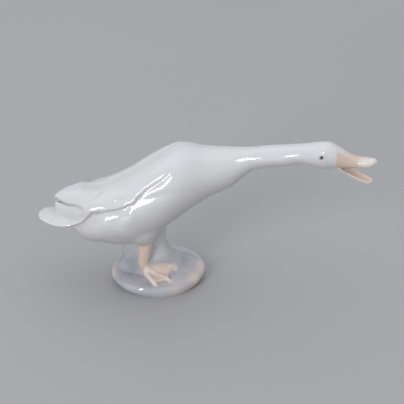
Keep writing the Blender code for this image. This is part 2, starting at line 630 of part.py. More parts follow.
def creases(side):
    """Hollows that are pressed into the plumage: points, depth and width of each."""
    corner, lower = WING_CORNER_X, WING_CORNER_HEIGHT
    back, climb = WING_REAR_X - corner, lower - WING_REAR_HEIGHT

    def on_wing(rows):
        return [arch_point(x, arch_angle(x, height), side) for x, height in even_rows(rows)]

    def on_flank(rows):
        return [flank_point(x, height, side) for x, height in even_rows(rows)]

    feather = [(corner + FEATHER_RUN * on, lower + FEATHER_RUN * up)
               for on, up in ((-1.00, -0.18), (-0.65, 0.01), (-0.23, 0.22))]
    armpit = [(corner + back * on, lower - climb * down)
              for on, down in ((0.83, 0.86), (0.54, 0.59), (0.30, 0.46))]
    breast = [(corner + BREAST_RUN * on, lower + BREAST_RUN * up)
              for on, up in ((0.0, 0.0), (0.30, 0.11), (0.61, 0.23), (1.0, 0.315))]
    thigh = [(THIGH_X - THIGH_LENGTH * on, THIGH_HEIGHT - THIGH_DEPTH * down)
             for on, down in ((0.67, 0.05), (0.58, 0.13), (0.43, 0.225), (0.31, 0.34))]
    turns = [(BREAST_X - SHOULDER_RUN * on, math.radians(turn))
             for on, turn in ((1.0, 3), (0.44, 6), (0.0, 10))]
    shoulder = [arch_point(x, turn, side) for x, turn in even_rows(turns)]
    return [
        (on_wing(feather), FEATHER_CREASE, FEATHER_CREASE_WIDTH),
        (on_flank(armpit), ARMPIT, ARMPIT_WIDTH),
        (on_flank(breast), BREAST_CREASE, BREAST_CREASE_WIDTH),
        (on_flank(thigh), THIGH_HOLLOW, THIGH_HOLLOW_WIDTH),
        (shoulder, SHOULDER_CREASE, SHOULDER_CREASE_WIDTH),
    ]


def press(thing, points, depth, width):
    """Press a soft hollow into the skin along a path. It fades out at both ends."""
    count = len(thing.data.vertices)
    spots, normals = np.empty(count * 3), np.empty(count * 3)
    thing.data.vertices.foreach_get("co", spots)
    thing.data.vertices.foreach_get("normal", normals)
    spots, normals = spots.reshape(-1, 3), normals.reshape(-1, 3)
    nearest, share = np.full(count, np.inf), np.zeros(count)
    for k, (before, after) in enumerate(zip(points, points[1:])):
        start, span = np.array(before), np.array(after - before)
        t = np.clip((spots - start) @ span / (span @ span), 0, 1)
        away = np.linalg.norm(spots - start - t[:, None] * span, axis=1)
        share = np.where(away < nearest, (k + t) / (len(points) - 1), share)
        nearest = np.minimum(away, nearest)
    bell = np.exp(-((nearest / width) ** 2)) * np.sin(np.pi * np.clip(share, 0.05, 0.95)) ** 0.7
    spots = spots - normals * (depth * bell)[:, None]
    thing.data.vertices.foreach_set("co", spots.ravel())
    thing.data.update()


def blend_zones():
    """Places where the forms flow into each other, with the reach of each."""
    zones = []
    low, lowest = THIGH_HEIGHT - THIGH_DEPTH * 0.25, THIGH_HEIGHT - THIGH_DEPTH * 0.40
    for side in (-1, 1):
        hip = BODY_SIDE + side * (THIGH_SPREAD + THIGH_WIDTH * 0.4) / 2
        shoulder = arch_angle(WING_FRONT_X, WING_FRONT_HEIGHT)
        zones += [
            (Vector((THIGH_X - THIGH_LENGTH * 0.42, hip, low)), BLEND_REACH * 1.6),
            (Vector((THIGH_X + THIGH_LENGTH * 0.45, hip, low)), BLEND_REACH),
            (Vector((THIGH_X, hip, lowest)), BLEND_REACH),
            (Vector((THIGH_X, hip + side * THIGH_WIDTH / 4, THIGH_HEIGHT)), BLEND_REACH * 1.4),
            (arch_point(WING_FRONT_X, shoulder, side), BLEND_REACH),
            (arch_point(WING_REAR_X - BLEND_REACH * 0.4, math.radians(76), side), BLEND_REACH / 2),
        ]
    return zones


def blend(thing):
    """Smooth the skin strongly around the blend zones, and leave the rest as it is."""
    count = len(thing.data.vertices)
    spots = np.empty(count * 3)
    thing.data.vertices.foreach_get("co", spots)
    spots = spots.reshape(-1, 3)
    share = np.zeros(count)
    for centre, reach in blend_zones():
        away = np.linalg.norm(spots - np.array(centre), axis=1)
        share = np.maximum(share, np.clip(2 * (1 - away / reach), 0, 1))
    group = thing.vertex_groups.new(name="blend")
    for number in np.nonzero(share > 0)[0]:
        group.add([int(number)], float(share[number]), "REPLACE")
    flow = thing.modifiers.new("flow", "SMOOTH")
    flow.factor = 0.5
    flow.iterations = BLENDING
    flow.vertex_group = group.name
    settle(thing)
    thing.vertex_groups.clear()


def settle(thing):
    """Turn a form and its modifiers into a plain mesh."""
    bpy.context.view_layer.update()
    seen = thing.evaluated_get(bpy.context.evaluated_depsgraph_get())
    old = thing.data
    thing.data = bpy.data.meshes.new_from_object(seen)
    thing.modifiers.clear()
    bpy.data.meshes.remove(old)


def fuse(pieces, name):
    """Join the forms and melt them into one skin with soft inner corners."""
    whole = bmesh.new()
    for piece in pieces:
        whole.from_mesh(piece.data)
        bpy.data.objects.remove(piece, do_unlink=True)
    data = bpy.data.meshes.new(name)
    whole.to_mesh(data)
    whole.free()
    thing = bpy.data.objects.new(name, data)
    bpy.context.collection.objects.link(thing)
    melt = thing.modifiers.new("melt", "REMESH")
    melt.mode = "VOXEL"
    melt.voxel_size = VOXEL
    soften = thing.modifiers.new("soften", "SMOOTH")
    soften.factor = 0.5
    soften.iterations = SOFTENING
    settle(thing)
    blend(thing)
    for side in (-1, 1):
        for points, depth, width in creases(side):
            press(thing, points, depth, width)
    finish = thing.modifiers.new("finish", "SMOOTH")
    finish.factor = 0.5
    finish.iterations = SOFTENING // 2
    thin = thing.modifiers.new("thin", "DECIMATE")
    thin.ratio = TRIANGLES / (2 * len(thing.data.polygons))
    settle(thing)
    return thing


def cut_flat(thing):
    """Slice the underside off at the ground, which leaves one flat face."""
    mesh = bmesh.new()
    mesh.from_mesh(thing.data)
    everything = mesh.verts[:] + mesh.edges[:] + mesh.faces[:]
    cut = bmesh.ops.bisect_plane(mesh, geom=everything, plane_co=(0, 0, 0), plane_no=(0, 0, 1),
                                 clear_inner=True)
    rim = [piece for piece in cut["geom_cut"] if isinstance(piece, bmesh.types.BMEdge)]
    bmesh.ops.contextual_create(mesh, geom=rim)
    bmesh.ops.recalc_face_normals(mesh, faces=mesh.faces)
    mesh.to_mesh(thing.data)
    mesh.free()


def vent(thing):
    """Blind firing hole in the underside, beside the middle."""
    bpy.ops.mesh.primitive_cylinder_add(vertices=24, radius=VENT_DIAMETER / 2, depth=2 * VENT_DEPTH,
                                        location=(-VENT_OFFSET, 0, 0))
    drill = bpy.context.active_object
    drill.name = "vent_cutter"
    drill.hide_render = True
    drill.display_type = "WIRE"
    hole = thing.modifiers.new("vent", "BOOLEAN")
    hole.operation = "DIFFERENCE"
    hole.solver = "EXACT"
    hole.object = drill


def glazed_porcelain():
    """White porcelain under a clear glaze."""
    material = bpy.data.materials.new("glazed_porcelain")
    material.use_nodes = True
    shader = material.node_tree.nodes["Principled BSDF"]
    shader.inputs["Base Color"].default_value = PORCELAIN
    shader.inputs["Roughness"].default_value = 0.12
    shader.inputs["Metallic"].default_value = 0.0
    return material


for thing in list(bpy.data.objects):
    bpy.data.objects.remove(thing, do_unlink=True)

goose = fuse(forms(), "goose_figurine")
cut_flat(goose)
vent(goose)
goose.data.materials.clear()
goose.data.materials.append(glazed_porcelain())
goose.data.shade_smooth()
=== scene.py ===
"""Looks of the goose figurine: one glazed porcelain casting with underglaze colour.

The forms are the solid's, melted together more finely and given a little more relief.
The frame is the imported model: +X runs toward the beak, +Z up and -Y toward the goose's
right side, in metres, with the origin at the centre of the mound's flat underside.
"""
import math
from collections import namedtuple

import bmesh
import bpy
import numpy as np
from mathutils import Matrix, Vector


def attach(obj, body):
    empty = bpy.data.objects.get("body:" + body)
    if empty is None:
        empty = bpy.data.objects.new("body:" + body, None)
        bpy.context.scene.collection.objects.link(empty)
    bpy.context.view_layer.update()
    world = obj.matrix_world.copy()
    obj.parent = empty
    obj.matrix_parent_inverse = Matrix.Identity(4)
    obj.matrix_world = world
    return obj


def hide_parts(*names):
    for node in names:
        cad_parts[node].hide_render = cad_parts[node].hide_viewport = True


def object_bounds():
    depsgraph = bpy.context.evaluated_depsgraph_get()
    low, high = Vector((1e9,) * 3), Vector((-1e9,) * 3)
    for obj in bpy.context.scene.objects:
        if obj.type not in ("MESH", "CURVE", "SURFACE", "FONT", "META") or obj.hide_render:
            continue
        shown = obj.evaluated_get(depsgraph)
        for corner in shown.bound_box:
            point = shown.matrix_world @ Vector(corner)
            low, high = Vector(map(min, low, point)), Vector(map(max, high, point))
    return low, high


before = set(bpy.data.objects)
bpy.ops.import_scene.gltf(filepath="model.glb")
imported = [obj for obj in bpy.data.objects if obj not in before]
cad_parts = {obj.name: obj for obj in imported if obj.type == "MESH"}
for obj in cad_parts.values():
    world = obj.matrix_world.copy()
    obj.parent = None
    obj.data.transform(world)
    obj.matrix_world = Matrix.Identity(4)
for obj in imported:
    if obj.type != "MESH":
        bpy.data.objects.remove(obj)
cad_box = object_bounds()

# Fineness of the lofts and of the fused skin, margin under the flat cut, and vent in the underside
RING_POINTS, LIMB_POINTS, SPINE_STEPS = 144, 32, 320
VOXEL, SOFTENING, BLENDING, TRIANGLES = 0.00042, 12, 170, 190000
CUT_MARGIN = 0.0015
VENT_DIAMETER, VENT_DEPTH, VENT_OFFSET = 0.0040, 0.0060, 0.0140

# Mound under the feet. Its rim is a little oval and stands off the foot's middle.
BASE_LENGTH, BASE_BREADTH = 0.0648, 0.0608
BASE_SHIFT, BASE_SKEW = 0.0018, 0.06
BASE_FOOT_DIAMETER = 0.0540
BASE_EDGE_HEIGHT, BASE_TOP_HEIGHT = 0.0052, 0.0104
BASE_UNDER_CURVE, BASE_EDGE_CURVE = 0.70, 0.42
BASE_CROWN = 0.86

# Torso, from rump to nape: place along X, height of the section's middle, width, rise and drop
Section = namedtuple("Section", "x height width rise drop")
BODY_SIDE = -0.0042
RUMP = Section(-0.0600, 0.0530, 0.020, 0.0090, 0.0050)
SEAT = Section(-0.0500, 0.0500, 0.030, 0.0200, 0.0140)
HIP = Section(-0.0370, 0.0535, 0.044, 0.0205, 0.0192)
BELLY = Section(-0.0200, 0.0595, 0.051, 0.0226, 0.0266)
CHEST = Section(-0.0010, 0.0703, 0.051, 0.0252, 0.0285)
BREAST = Section(0.0150, 0.0800, 0.047, 0.0252, 0.0259)
CROP = Section(0.0330, 0.0857, 0.034, 0.0180, 0.0185)
NAPE = Section(0.0500, 0.0908, 0.0236, 0.0139, 0.0143)
TORSO = (RUMP, SEAT, HIP, BELLY, CHEST, BREAST, CROP, NAPE)

# Neck and head, set out along the neck, which turns toward the goose's right
NECK_X, NECK_SIDE, NECK_HEIGHT = 0.0632, -0.0106, 0.0985
NECK_TURN = math.radians(-18)
NECK_LENGTH, NECK_CLIMB = 0.0347, 0.0099
NECK_WIDTH, NECK_DEPTH = 0.0148, 0.0150
HEAD_LENGTH, HEAD_CLIMB = 0.0160, 0.0015
HEAD_WIDTH, HEAD_DEPTH = 0.0164, 0.0194
EYE_DIAMETER, EYE_PROUD = 0.0036, 0.0005
EYE_FORWARD, EYE_RISE = 0.0143, 0.0025

# Beak, open to honk
BEAK_START, BEAK_LENGTH = 0.0224, 0.0280
BEAK_ROOT_WIDTH, BEAK_ROOT_DEPTH = 0.0130, 0.0158
BEAK_MIDDLE_WIDTH, BEAK_MIDDLE_DEPTH, BEAK_DIP = 0.0098, 0.0084, 0.0014
BEAK_TIP_WIDTH, BEAK_TIP_DEPTH, BEAK_TIP_LIFT = 0.0088, 0.0058, 0.0005
JAW_START, JAW_LENGTH, JAW_DROP = 0.0222, 0.0252, 0.0052
JAW_WIDTH, JAW_DEPTH, JAW_CURL = 0.0090, 0.0041, 0.0006
JAW_OPENING = math.radians(19.5)
JAW_TROUGH = 0.0022

# Folded wings: half arches over the back. Each has a covering layer and long blades.
WING_THICKNESS, WING_PROUD = 0.0056, 0.0024
BLADE_THICKNESS, LAYER_STEP = 0.0022, 0.0016
WING_VALLEY, VALLEY_WIDTH = 0.0009, 0.0095
WING_FRONT_X, WING_FRONT_HEIGHT = 0.0175, 0.0985
WING_BEND_X, WING_BEND_HEIGHT = -0.0050, 0.0845
WING_CORNER_X, WING_CORNER_HEIGHT = -0.0155, 0.0740
WING_REAR_X, WING_REAR_HEIGHT = -0.0500, 0.0600
WING_TUCK, WING_OVERLAP = 0.0260, math.radians(7)
TIP_X, TIP_HEIGHT = -0.0692, 0.0673
REAR_ARCH_HEIGHT, REAR_ARCH_RISE = 0.0596, 0.0166

# Creases of the plumage: depth and reach of each hollow, and the length of the free ones.
# The last value is the reach of the smoothing where forms flow into each other.
FEATHER_CREASE, FEATHER_CREASE_WIDTH, FEATHER_RUN = 0.0007, 0.0013, 0.0154
BREAST_CREASE, BREAST_CREASE_WIDTH, BREAST_RUN = 0.0008, 0.0026, 0.0270
SHOULDER_CREASE, SHOULDER_CREASE_WIDTH, SHOULDER_RUN = 0.0007, 0.0016, 0.0270
ARMPIT, ARMPIT_WIDTH = 0.0009, 0.0024
THIGH_HOLLOW, THIGH_HOLLOW_WIDTH = 0.0005, 0.0040
BLEND_REACH = 0.0100

# Tail
TAIL_X, TAIL_WIDTH, TAIL_THICKNESS = -0.0805, 0.0264, 0.0018
TAIL_TIP_HEIGHT, TAIL_EDGE_HEIGHT, TAIL_CROWN, TAIL_ROOT = 0.0528, 0.0508, 0.0040, 0.0060
COVERT_X, COVERT_WIDTH, COVERT_HEIGHT = -0.0690, 0.0190, 0.0640
COVERT_FULLNESS = 0.55

# Stand of flowing folds between belly and mound
STAND_X, STAND_SIDE, STAND_TOP = -0.0092, 0.0020, 0.0460
STAND_WIDTH, STAND_DEPTH, STAND_WAIST_HEIGHT = 0.0295, 0.0185, 0.0300
STAND_SKIRT_WIDTH, STAND_SKIRT_DEPTH, STAND_SKIRT_SHIFT = 0.0560, 0.0380, 0.0086
FOLD_COUNT, FOLD_DEPTH, FOLD_TWIST = 30, 0.032, 1.6

# Legs and webbed feet
THIGH_X, THIGH_SPREAD, THIGH_HEIGHT = -0.0110, 0.0170, 0.0520
THIGH_LENGTH, THIGH_WIDTH, THIGH_DEPTH = 0.0280, 0.0260, 0.0355
LEG_DIAMETER, LEG_SPREAD, LEG_X, LEG_LENGTH = 0.0090, 0.0250, -0.0087, 0.0320
HEEL_X, HEEL_SPREAD, HEEL_HEIGHT = -0.0099, 0.0230, 0.0150
FOOT_LENGTH, FOOT_TURN, TOE_SPREAD = 0.0206, math.radians(28), math.radians(32)
OUTER_TOE, INNER_TOE, WEB_NOTCH = 0.825, 1.04, 0.13
TOE_DIAMETER, WEB_THICKNESS = 0.0034, 0.0014

# Colours of the clay, the glaze and the paint under it, and of painted shade and shadow, as linear values
WHITE, WHITE_SHADE = (0.70, 0.70, 0.72, 1), (0.645, 0.64, 0.645, 1)
WARM_SHADE, GAP_SHADOW = (0.52, 0.505, 0.50, 1), (0.20, 0.19, 0.19, 1)
SLATE, PALE_SLATE, DEEP_SLATE = (0.355, 0.375, 0.42, 1), (0.53, 0.54, 0.565, 1), (0.30, 0.33, 0.38, 1)
LAVENDER, PINK, BARE_CLAY = (0.45, 0.44, 0.51, 1), (0.78, 0.60, 0.60, 1), (0.66, 0.62, 0.57, 1)
PEACH, DEEP_PEACH, PALE_PEACH = (0.80, 0.65, 0.55, 1), (0.74, 0.54, 0.42, 1), (0.85, 0.77, 0.72, 1)
BILL_PEACH, BILL_SHADE, BILL_PALE = (0.62, 0.48, 0.385, 1), (0.50, 0.36, 0.28, 1), (0.72, 0.65, 0.60, 1)
MOUTH, BILL_END = (0.84, 0.66, 0.55, 1), (0.80, 0.77, 0.74, 1)
PUPIL, LASH = (0.012, 0.011, 0.012, 1), (0.30, 0.29, 0.31, 1)

# Where the paint changes. On the beak: ahead of the bill's line, and below the beak's middle.
BILL_LINE, BILL_FADE, BILL_SWEEP = 0.0567, 0.0011, 0.32
RIDGE_FADE, BILL_TIP_FADE, BILL_END_FADE = (0.004, 0.016), (0.008, 0.026), (0.014, 0.021)
BILL_LOW_FADE, MOUTH_FADE = (0.001, 0.009), (0.0045, 0.0065)
# SHADE_FACING is where painted shade lies on skin that faces down.
RIDGE_FACING, MOUTH_FACING, SHADE_FACING = (0.50, 0.95), (0.1, 0.6), (0.35, -0.8)
PUPIL_DIAMETER, PUPIL_EDGE, LASH_DIAMETER = 0.0020, (0.46, 0.54), 0.0042
CHEEK_DROP, CHEEK_SIZE = 0.0050, 0.0016
STAND_FADE, STAND_FADE_TOP, LEG_PAINT_EDGE = 0.0270, 0.0020, 0.0009
BARE_FADE, RIM_FADE = (0.0002, 0.0007), (-0.0010, 0.0025)
MOUND_OUT, FOOT_OUT = (1.02, 1.10), (1.00, 1.08)
TOE_PAINT, TOE_RIDGE, WEB_EDGE = (0.66, 0.42), (0.50, 0.20), (0.0006, -0.0003)
FOOT_TOP_FADE, FOOT_LOW_FADE = (-0.0005, 0.0020), (-0.0010, 0.0010)
HEEL_FADE, HEEL_TOP_FADE, HEEL_PALENESS = (0.0012, -0.0012), (-0.0015, 0.0030), 0.75
# Reach of the painted shadow in the gap under a wing tip, across it and along it.
GAP_SHADOW_WIDTH, GAP_SHADOW_END = (1.3, 0.5), (1.0, 0.55)
# Bends of the skin at which painted shade in the hollows and painted light on the ridges are full.
CREASE_BEND, RIDGE_BEND = 0.00012, 0.00016

# Patterns in paint and glaze: scale, detail, roughness and stretch
CLOUDS, WISPS = (38.0, 4.0, 0.55), (120.0, 5.0, 0.6, (1.0, 1.0, 0.45))
SPECKS, DRIFTS = (900.0, 2.0, 0.5), (75.0, 3.0, 0.5)
SHEEN, RIPPLES = (55.0, 3.0, 0.5), (95.0, 2.0, 0.45)
GLOSS, MATT = (0.07, 0.13), 0.75
RIPPLE_STRENGTH, RIPPLE_DEPTH = 0.03, 0.0012

# Patches of colour on stand and mound, for each layer: strength, place and size
RIM = BASE_LENGTH / 2
PATCHES = {
    # Pale patches on the stand: partly its paler glaze, partly a painted highlight beside the leg.
    "pale": (
        (1.0, (0.0000, -0.0080, 0.0240), 0.0080),
        (1.0, (0.0050, -0.0050, 0.0340), 0.0100),
        (0.6, (-0.0190, -0.0060, 0.0340), 0.0080),
    ),
    "blush": (
        (1.0, (RIM * 0.95, 0.0015, BASE_EDGE_HEIGHT), 0.0075),
        (1.0, (RIM * 0.82, -0.0135, BASE_EDGE_HEIGHT), 0.0060),
        (0.6, (RIM * 0.42, -0.0250, BASE_EDGE_HEIGHT), 0.0060),
        (0.7, (-RIM * 0.98, -0.0050, BASE_EDGE_HEIGHT), 0.0060),
        (0.8, (-RIM * 0.80, 0.0160, BASE_EDGE_HEIGHT), 0.0070),
    ),
    "wash": (
        (1.0, (-RIM * 0.55, -0.0080, BASE_TOP_HEIGHT + 0.003), 0.0055),
        (0.7, (RIM * 0.55, 0.0130, BASE_TOP_HEIGHT), 0.0080),
    ),
    "violet": (
        (1.0, (-RIM * 0.48, -0.0215, BASE_TOP_HEIGHT), 0.0075),
        (1.0, (RIM * 0.30, 0.0050, BASE_TOP_HEIGHT), 0.0080),
    ),
}

# Soft relief of the flank: place along X, top and bottom height of each ridge and hollow
FLANK_RIDGES = ((-0.0165, 0.0720, 0.0570), (-0.0352, 0.0650, 0.0530), (-0.0475, 0.0630, 0.0560))
FLANK_HOLLOWS = ((-0.0260, 0.0670, 0.0540), (-0.0415, 0.0640, 0.0540))
RIDGE_HEIGHT, RIDGE_WIDTH = 0.00050, 0.0024
FLANK_HOLLOW, FLANK_HOLLOW_WIDTH = 0.00045, 0.0036

# Gap under a wing tip: place along X, distance from the body's middle and height. A groove is pressed along
# it, and painted shadow is laid in it.
WING_GAP = ((-0.0690, 0.0000, 0.0632), (-0.0678, 0.0007, 0.0634), (-0.0631, 0.0046, 0.0643),
            (-0.0580, 0.0084, 0.0646), (-0.0541, 0.0108, 0.0648))
WING_GAP_DEPTH, WING_GAP_WIDTH = 0.0009, 0.00055

# Softening of the wing's rear lower edge, of the seams along the back and of the leg's top
EDGE_REACH, EDGE_ROUNDS = 0.0042, 90
SEAM_REACH, SEAM_ROUNDS = 0.0036, 70
LEG_TOP_REACH, LEG_TOP_ROUNDS = 0.0095, 160
FINISH_ROUNDS = 7

# Floor, camera and lights. A light has its place, its size and its watts.
FLOOR_SIZE, FLOOR_GAP = 8.0, 0.0001
FLOOR_PALE, FLOOR_GREY = (0.45, 0.45, 0.46, 1), (0.41, 0.41, 0.42, 1)
SENSOR, CAMERA_LENS = 36.0, 183.4
CAMERA_PLACE, CAMERA_PITCH = (0.030084, -1.204119, 0.754795), math.radians(30)
GOOSE_MIDDLE = (0.03, 0, 0.07)
TOP_BOX = ((-0.10, 0.20, 1.80), (2.8, 2.4), 9)
LEFT_STRIP = ((-1.42, -2.15, 1.06), (0.34, 1.50), 27)
SURROUND, SURROUND_STRENGTH = (0.86, 0.87, 0.90, 1), 0.68


def smooth_through(keys, values, at):
    """Value at a place on the smooth curve through the given points."""
    if at <= keys[0]:
        return values[0]
    if at >= keys[-1]:
        return values[-1]
    k = max(i for i in range(len(keys) - 1) if keys[i] <= at)

    def slope(i):
        low, high = max(i - 1, 0), min(i + 1, len(keys) - 1)
        return (values[high] - values[low]) / (keys[high] - keys[low])

    span = keys[k + 1] - keys[k]
    t = (at - keys[k]) / span
    start = values[k] * (2 * t**3 - 3 * t**2 + 1) + slope(k) * span * (t**3 - 2 * t**2 + t)
    return start + values[k + 1] * (3 * t**2 - 2 * t**3) + slope(k + 1) * span * (t**3 - t**2)


def along(stations, at):
    """All the values of a list of stations, whose first value is their place."""
    columns = list(zip(*stations))
    return [smooth_through(columns[0], column, at) for column in columns[1:]]


def evenly(low, high, count):
    """Places from low to high, count of them."""
    return [low + (high - low) * k / (count - 1) for k in range(count)]


def around(count):
    """Angles of one full turn, count of them."""
    return evenly(0, 2 * math.pi, count + 1)[:-1]


def ramp(value, low, high):
    """0 at low, 1 at high and smooth between, also where high is below low."""
    t = np.clip((value - low) / (high - low), 0, 1)
    return t * t * (3 - 2 * t)


def even_rows(rows):
    """Rows of two values, set evenly along the smooth curve through a few of them."""
    return [(place, along(rows, place)[0]) for place in evenly(rows[0][0], rows[-1][0], 13)]


def linked(name, data):
    """New object with the data, put into the scene."""
    thing = bpy.data.objects.new(name, data)
    bpy.context.collection.objects.link(thing)
    return thing


def solid(name, mesh):
    """New object made of an edited mesh, which is then set free."""
    data = bpy.data.meshes.new(name)
    mesh.to_mesh(data)
    mesh.free()
    return linked(name, data)


def loft(name, rings):
    """Closed solid through rings that all have the same number of points."""
    mesh = bmesh.new()
    rows = [[mesh.verts.new(p) for p in ring] for ring in rings]
    count = len(rows[0])
    for low, high in zip(rows, rows[1:]):
        for k in range(count):
            after = (k + 1) % count
            mesh.faces.new((low[k], low[after], high[after], high[k]))
    mesh.faces.new(rows[0][::-1])
    mesh.faces.new(rows[-1])
    bmesh.ops.recalc_face_normals(mesh, faces=mesh.faces)
    return solid(name, mesh)


def upright_ring(centre, turn, wide, rise, drop, fullness=1):
    """Egg-shaped upright section that faces along a turn: the lower the fullness, the squarer."""
    side = Vector((-math.sin(turn), math.cos(turn), 0))
    ring = []
    for angle in around(RING_POINTS):
        parts = math.sin(angle), math.cos(angle)
        across, up = (math.copysign(abs(part) ** fullness, part) for part in parts)
        ring.append(centre + side * (wide * across) + Vector((0, 0, up * (rise if up > 0 else drop))))
    return ring


def tube(name, points, radii):
    """Round limb through points, closed at its ends."""
    rings = []
    for k, (point, radius) in enumerate(zip(points, radii)):
        ahead = points[min(k + 1, len(points) - 1)] - points[max(k - 1, 0)]
        turn = Vector((0, 0, 1)).rotation_difference(ahead)
        rings.append([point + turn @ Vector((radius * math.cos(angle), radius * math.sin(angle), 0))
                      for angle in around(LIMB_POINTS)])
    return loft(name, rings)


def neck_point(forward, side, height):
    """Point set out along the turned neck, from where the neck starts."""
    ahead = Vector((math.cos(NECK_TURN), math.sin(NECK_TURN), 0))
    across = Vector((-math.sin(NECK_TURN), math.cos(NECK_TURN), 0))
    start = Vector((NECK_X, NECK_SIDE, NECK_HEIGHT))
    return start + ahead * forward + across * side + Vector((0, 0, height))


def torso_stations():
    """Sections of the torso as centre, turn, half width, rise and drop. The last ones turn to the neck."""
    stations = []
    for x, height, width, rise, drop in TORSO:
        bend = max(0.0, (x - CROP.x) / (NECK_X - CROP.x))
        side = BODY_SIDE + (NECK_SIDE - BODY_SIDE) * bend ** 1.6
        stations.append((Vector((x, side, height)), NECK_TURN * bend, width / 2, rise, drop))
    return stations


def head_stations():
    """Sections of neck, head and upper beak, of the same kind."""
    head = NECK_LENGTH + HEAD_LENGTH
    level = NECK_CLIMB + HEAD_CLIMB
    beak = NECK_LENGTH + BEAK_START
    tip = beak + BEAK_LENGTH
    tip_level = level + BEAK_TIP_LIFT
    rows = [
        (0, 0, NECK_WIDTH * 1.12, NECK_DEPTH * 1.15),
        (NECK_LENGTH * 0.25, NECK_CLIMB * 0.33, NECK_WIDTH, NECK_DEPTH * 1.05),
        (NECK_LENGTH * 0.70, NECK_CLIMB * 0.72, NECK_WIDTH, NECK_DEPTH),
        (NECK_LENGTH, NECK_CLIMB, NECK_WIDTH * 0.96, NECK_DEPTH * 0.95),
        (head, level, HEAD_WIDTH, HEAD_DEPTH),
        (beak, level, BEAK_ROOT_WIDTH, BEAK_ROOT_DEPTH),
        (beak + BEAK_LENGTH * 0.42, level - BEAK_DIP, BEAK_MIDDLE_WIDTH, BEAK_MIDDLE_DEPTH),
        (tip - BEAK_TIP_WIDTH * 0.58, tip_level - BEAK_DIP * 0.6, BEAK_TIP_WIDTH, BEAK_TIP_DEPTH),
        (tip - BEAK_TIP_WIDTH * 0.22, tip_level, BEAK_TIP_WIDTH * 0.72, BEAK_TIP_DEPTH * 0.75),
        (tip, tip_level, BEAK_TIP_WIDTH * 0.2, BEAK_TIP_DEPTH * 0.2),
    ]
    return [(neck_point(forward, 0, height), NECK_TURN, width / 2, depth / 2, depth / 2)
            for forward, height, width, depth in rows]


def body():
    """Torso, neck, head and upper beak in one loft along a bent spine."""
    stations = torso_stations() + head_stations()
    keys = [0.0]
    for before, after in zip(stations, stations[1:]):
        keys.append(keys[-1] + (after[0] - before[0]).length)
    keyed = [(key, *station) for key, station in zip(keys, stations)]
    return loft("body", [upright_ring(*along(keyed, at)) for at in evenly(0, keys[-1], SPINE_STEPS)])


def jaw():
    """Lower beak: a trough that hangs open from the corner of the mouth."""
    hinge = NECK_LENGTH + JAW_START
    corner = NECK_CLIMB + HEAD_CLIMB - JAW_DROP
    rings = []
    for t in evenly(0, math.pi / 2, 48):
        share = math.sin(t)
        reach = JAW_LENGTH * share
        height = corner - reach * math.tan(JAW_OPENING) + JAW_CURL * share**4
        narrow = 0.06 + 0.94 * math.sqrt(1 - share**8)
        wide = JAW_WIDTH / 2 * narrow
        deep = JAW_DEPTH * (0.45 + 0.55 * ramp(share, 0, 0.6)) * (0.4 + 0.6 * narrow)
        dip = min(JAW_TROUGH, deep * 0.6) * ramp(share, 0, 0.4) * ramp(share, 1, 0.93)
        ring = []
        for angle in evenly(0, math.pi, 25):
            ring.append(neck_point(hinge + reach, wide * math.cos(angle), height - deep * math.sin(angle)))
        for across in evenly(-0.98, 0.98, 17):
            hollow = dip * (1 - ramp(abs(across), 0.45, 0.80))
            ring.append(neck_point(hinge + reach, wide * across, height - hollow))
        rings.append(ring)
    return loft("jaw", rings)


def eye_centre(side):
    """Middle of an eye; side is -1 for the right and 1 for the left."""
    lift = math.sqrt(1 - (2 * EYE_RISE / HEAD_DEPTH) ** 2)
    offset = side * (HEAD_WIDTH / 2 * lift + EYE_PROUD - EYE_DIAMETER * 0.3)
    return neck_point(NECK_LENGTH + EYE_FORWARD, offset, NECK_CLIMB + HEAD_CLIMB + EYE_RISE)


def eye(side):
    """Small round swelling for an eye."""
    heights = evenly(-0.998, 0.998, 15)
    points = [eye_centre(side) + Vector((0, 0, EYE_DIAMETER / 2 * height)) for height in heights]
    return tube("eye", points, [EYE_DIAMETER / 2 * math.sqrt(1 - height**2) for height in heights])


def arch_stations():
    """Arches that the wings follow: place along X, height of the middle, half width, rise."""
    run, sag = WING_REAR_X - TIP_X, TIP_HEIGHT - REAR_ARCH_HEIGHT
    wide, rise = SEAT.width / 2 + WING_PROUD * 0.65, REAR_ARCH_RISE
    tip = [
        (0.0, 0.0, 0.06, 0.07),
        (0.156, 0.17, 0.28, 0.265),
        (0.375, 0.455, 0.505, 0.53),
        (0.74, 0.65, 0.77, 0.745),
        (1.0, 1.0, 1.0, 1.0),
    ]
    rows = [(TIP_X + run * on, TIP_HEIGHT - sag * low, wide * out, rise * up) for on, low, out, up in tip]
    proud, front = WING_PROUD, WING_PROUD * 1.25
    return rows + [
        (HIP.x, HIP.height + proud * 0.85, HIP.width / 2 + proud * 0.85, HIP.rise + proud * 0.4),
        (BELLY.x, BELLY.height, BELLY.width / 2 + proud, BELLY.rise + proud),
        (CHEST.x, CHEST.height, CHEST.width / 2 + proud * 0.8, CHEST.rise + proud * 0.85),
        (BREAST.x, BREAST.height, BREAST.width / 2 + proud * 0.1, BREAST.rise + proud * 0.2),
        (WING_FRONT_X + front, BREAST.height + proud * 0.4, BREAST.width / 2 - front, BREAST.rise - front),
    ]


def arch_point(x, angle, side, depth=0.0):
    """Point on the arch at x, at an angle from the top, and a depth under its surface."""
    middle, wide, rise = along(arch_stations(), x)
    across = (wide - depth) * math.sin(angle)
    valley = WING_VALLEY * ramp(x, BREAST.x, CHEST.x) * math.exp(-((2 * across / VALLEY_WIDTH) ** 2))
    return Vector((x, BODY_SIDE + side * across, middle + (rise - depth) * math.cos(angle) - valley))


def arch_angle(x, height):
    """Angle on the arch at x that reaches down to a height."""
    middle, _, rise = along(arch_stations(), x)
    return math.acos(max(-1.0, min(1.0, (height - middle) / rise)))


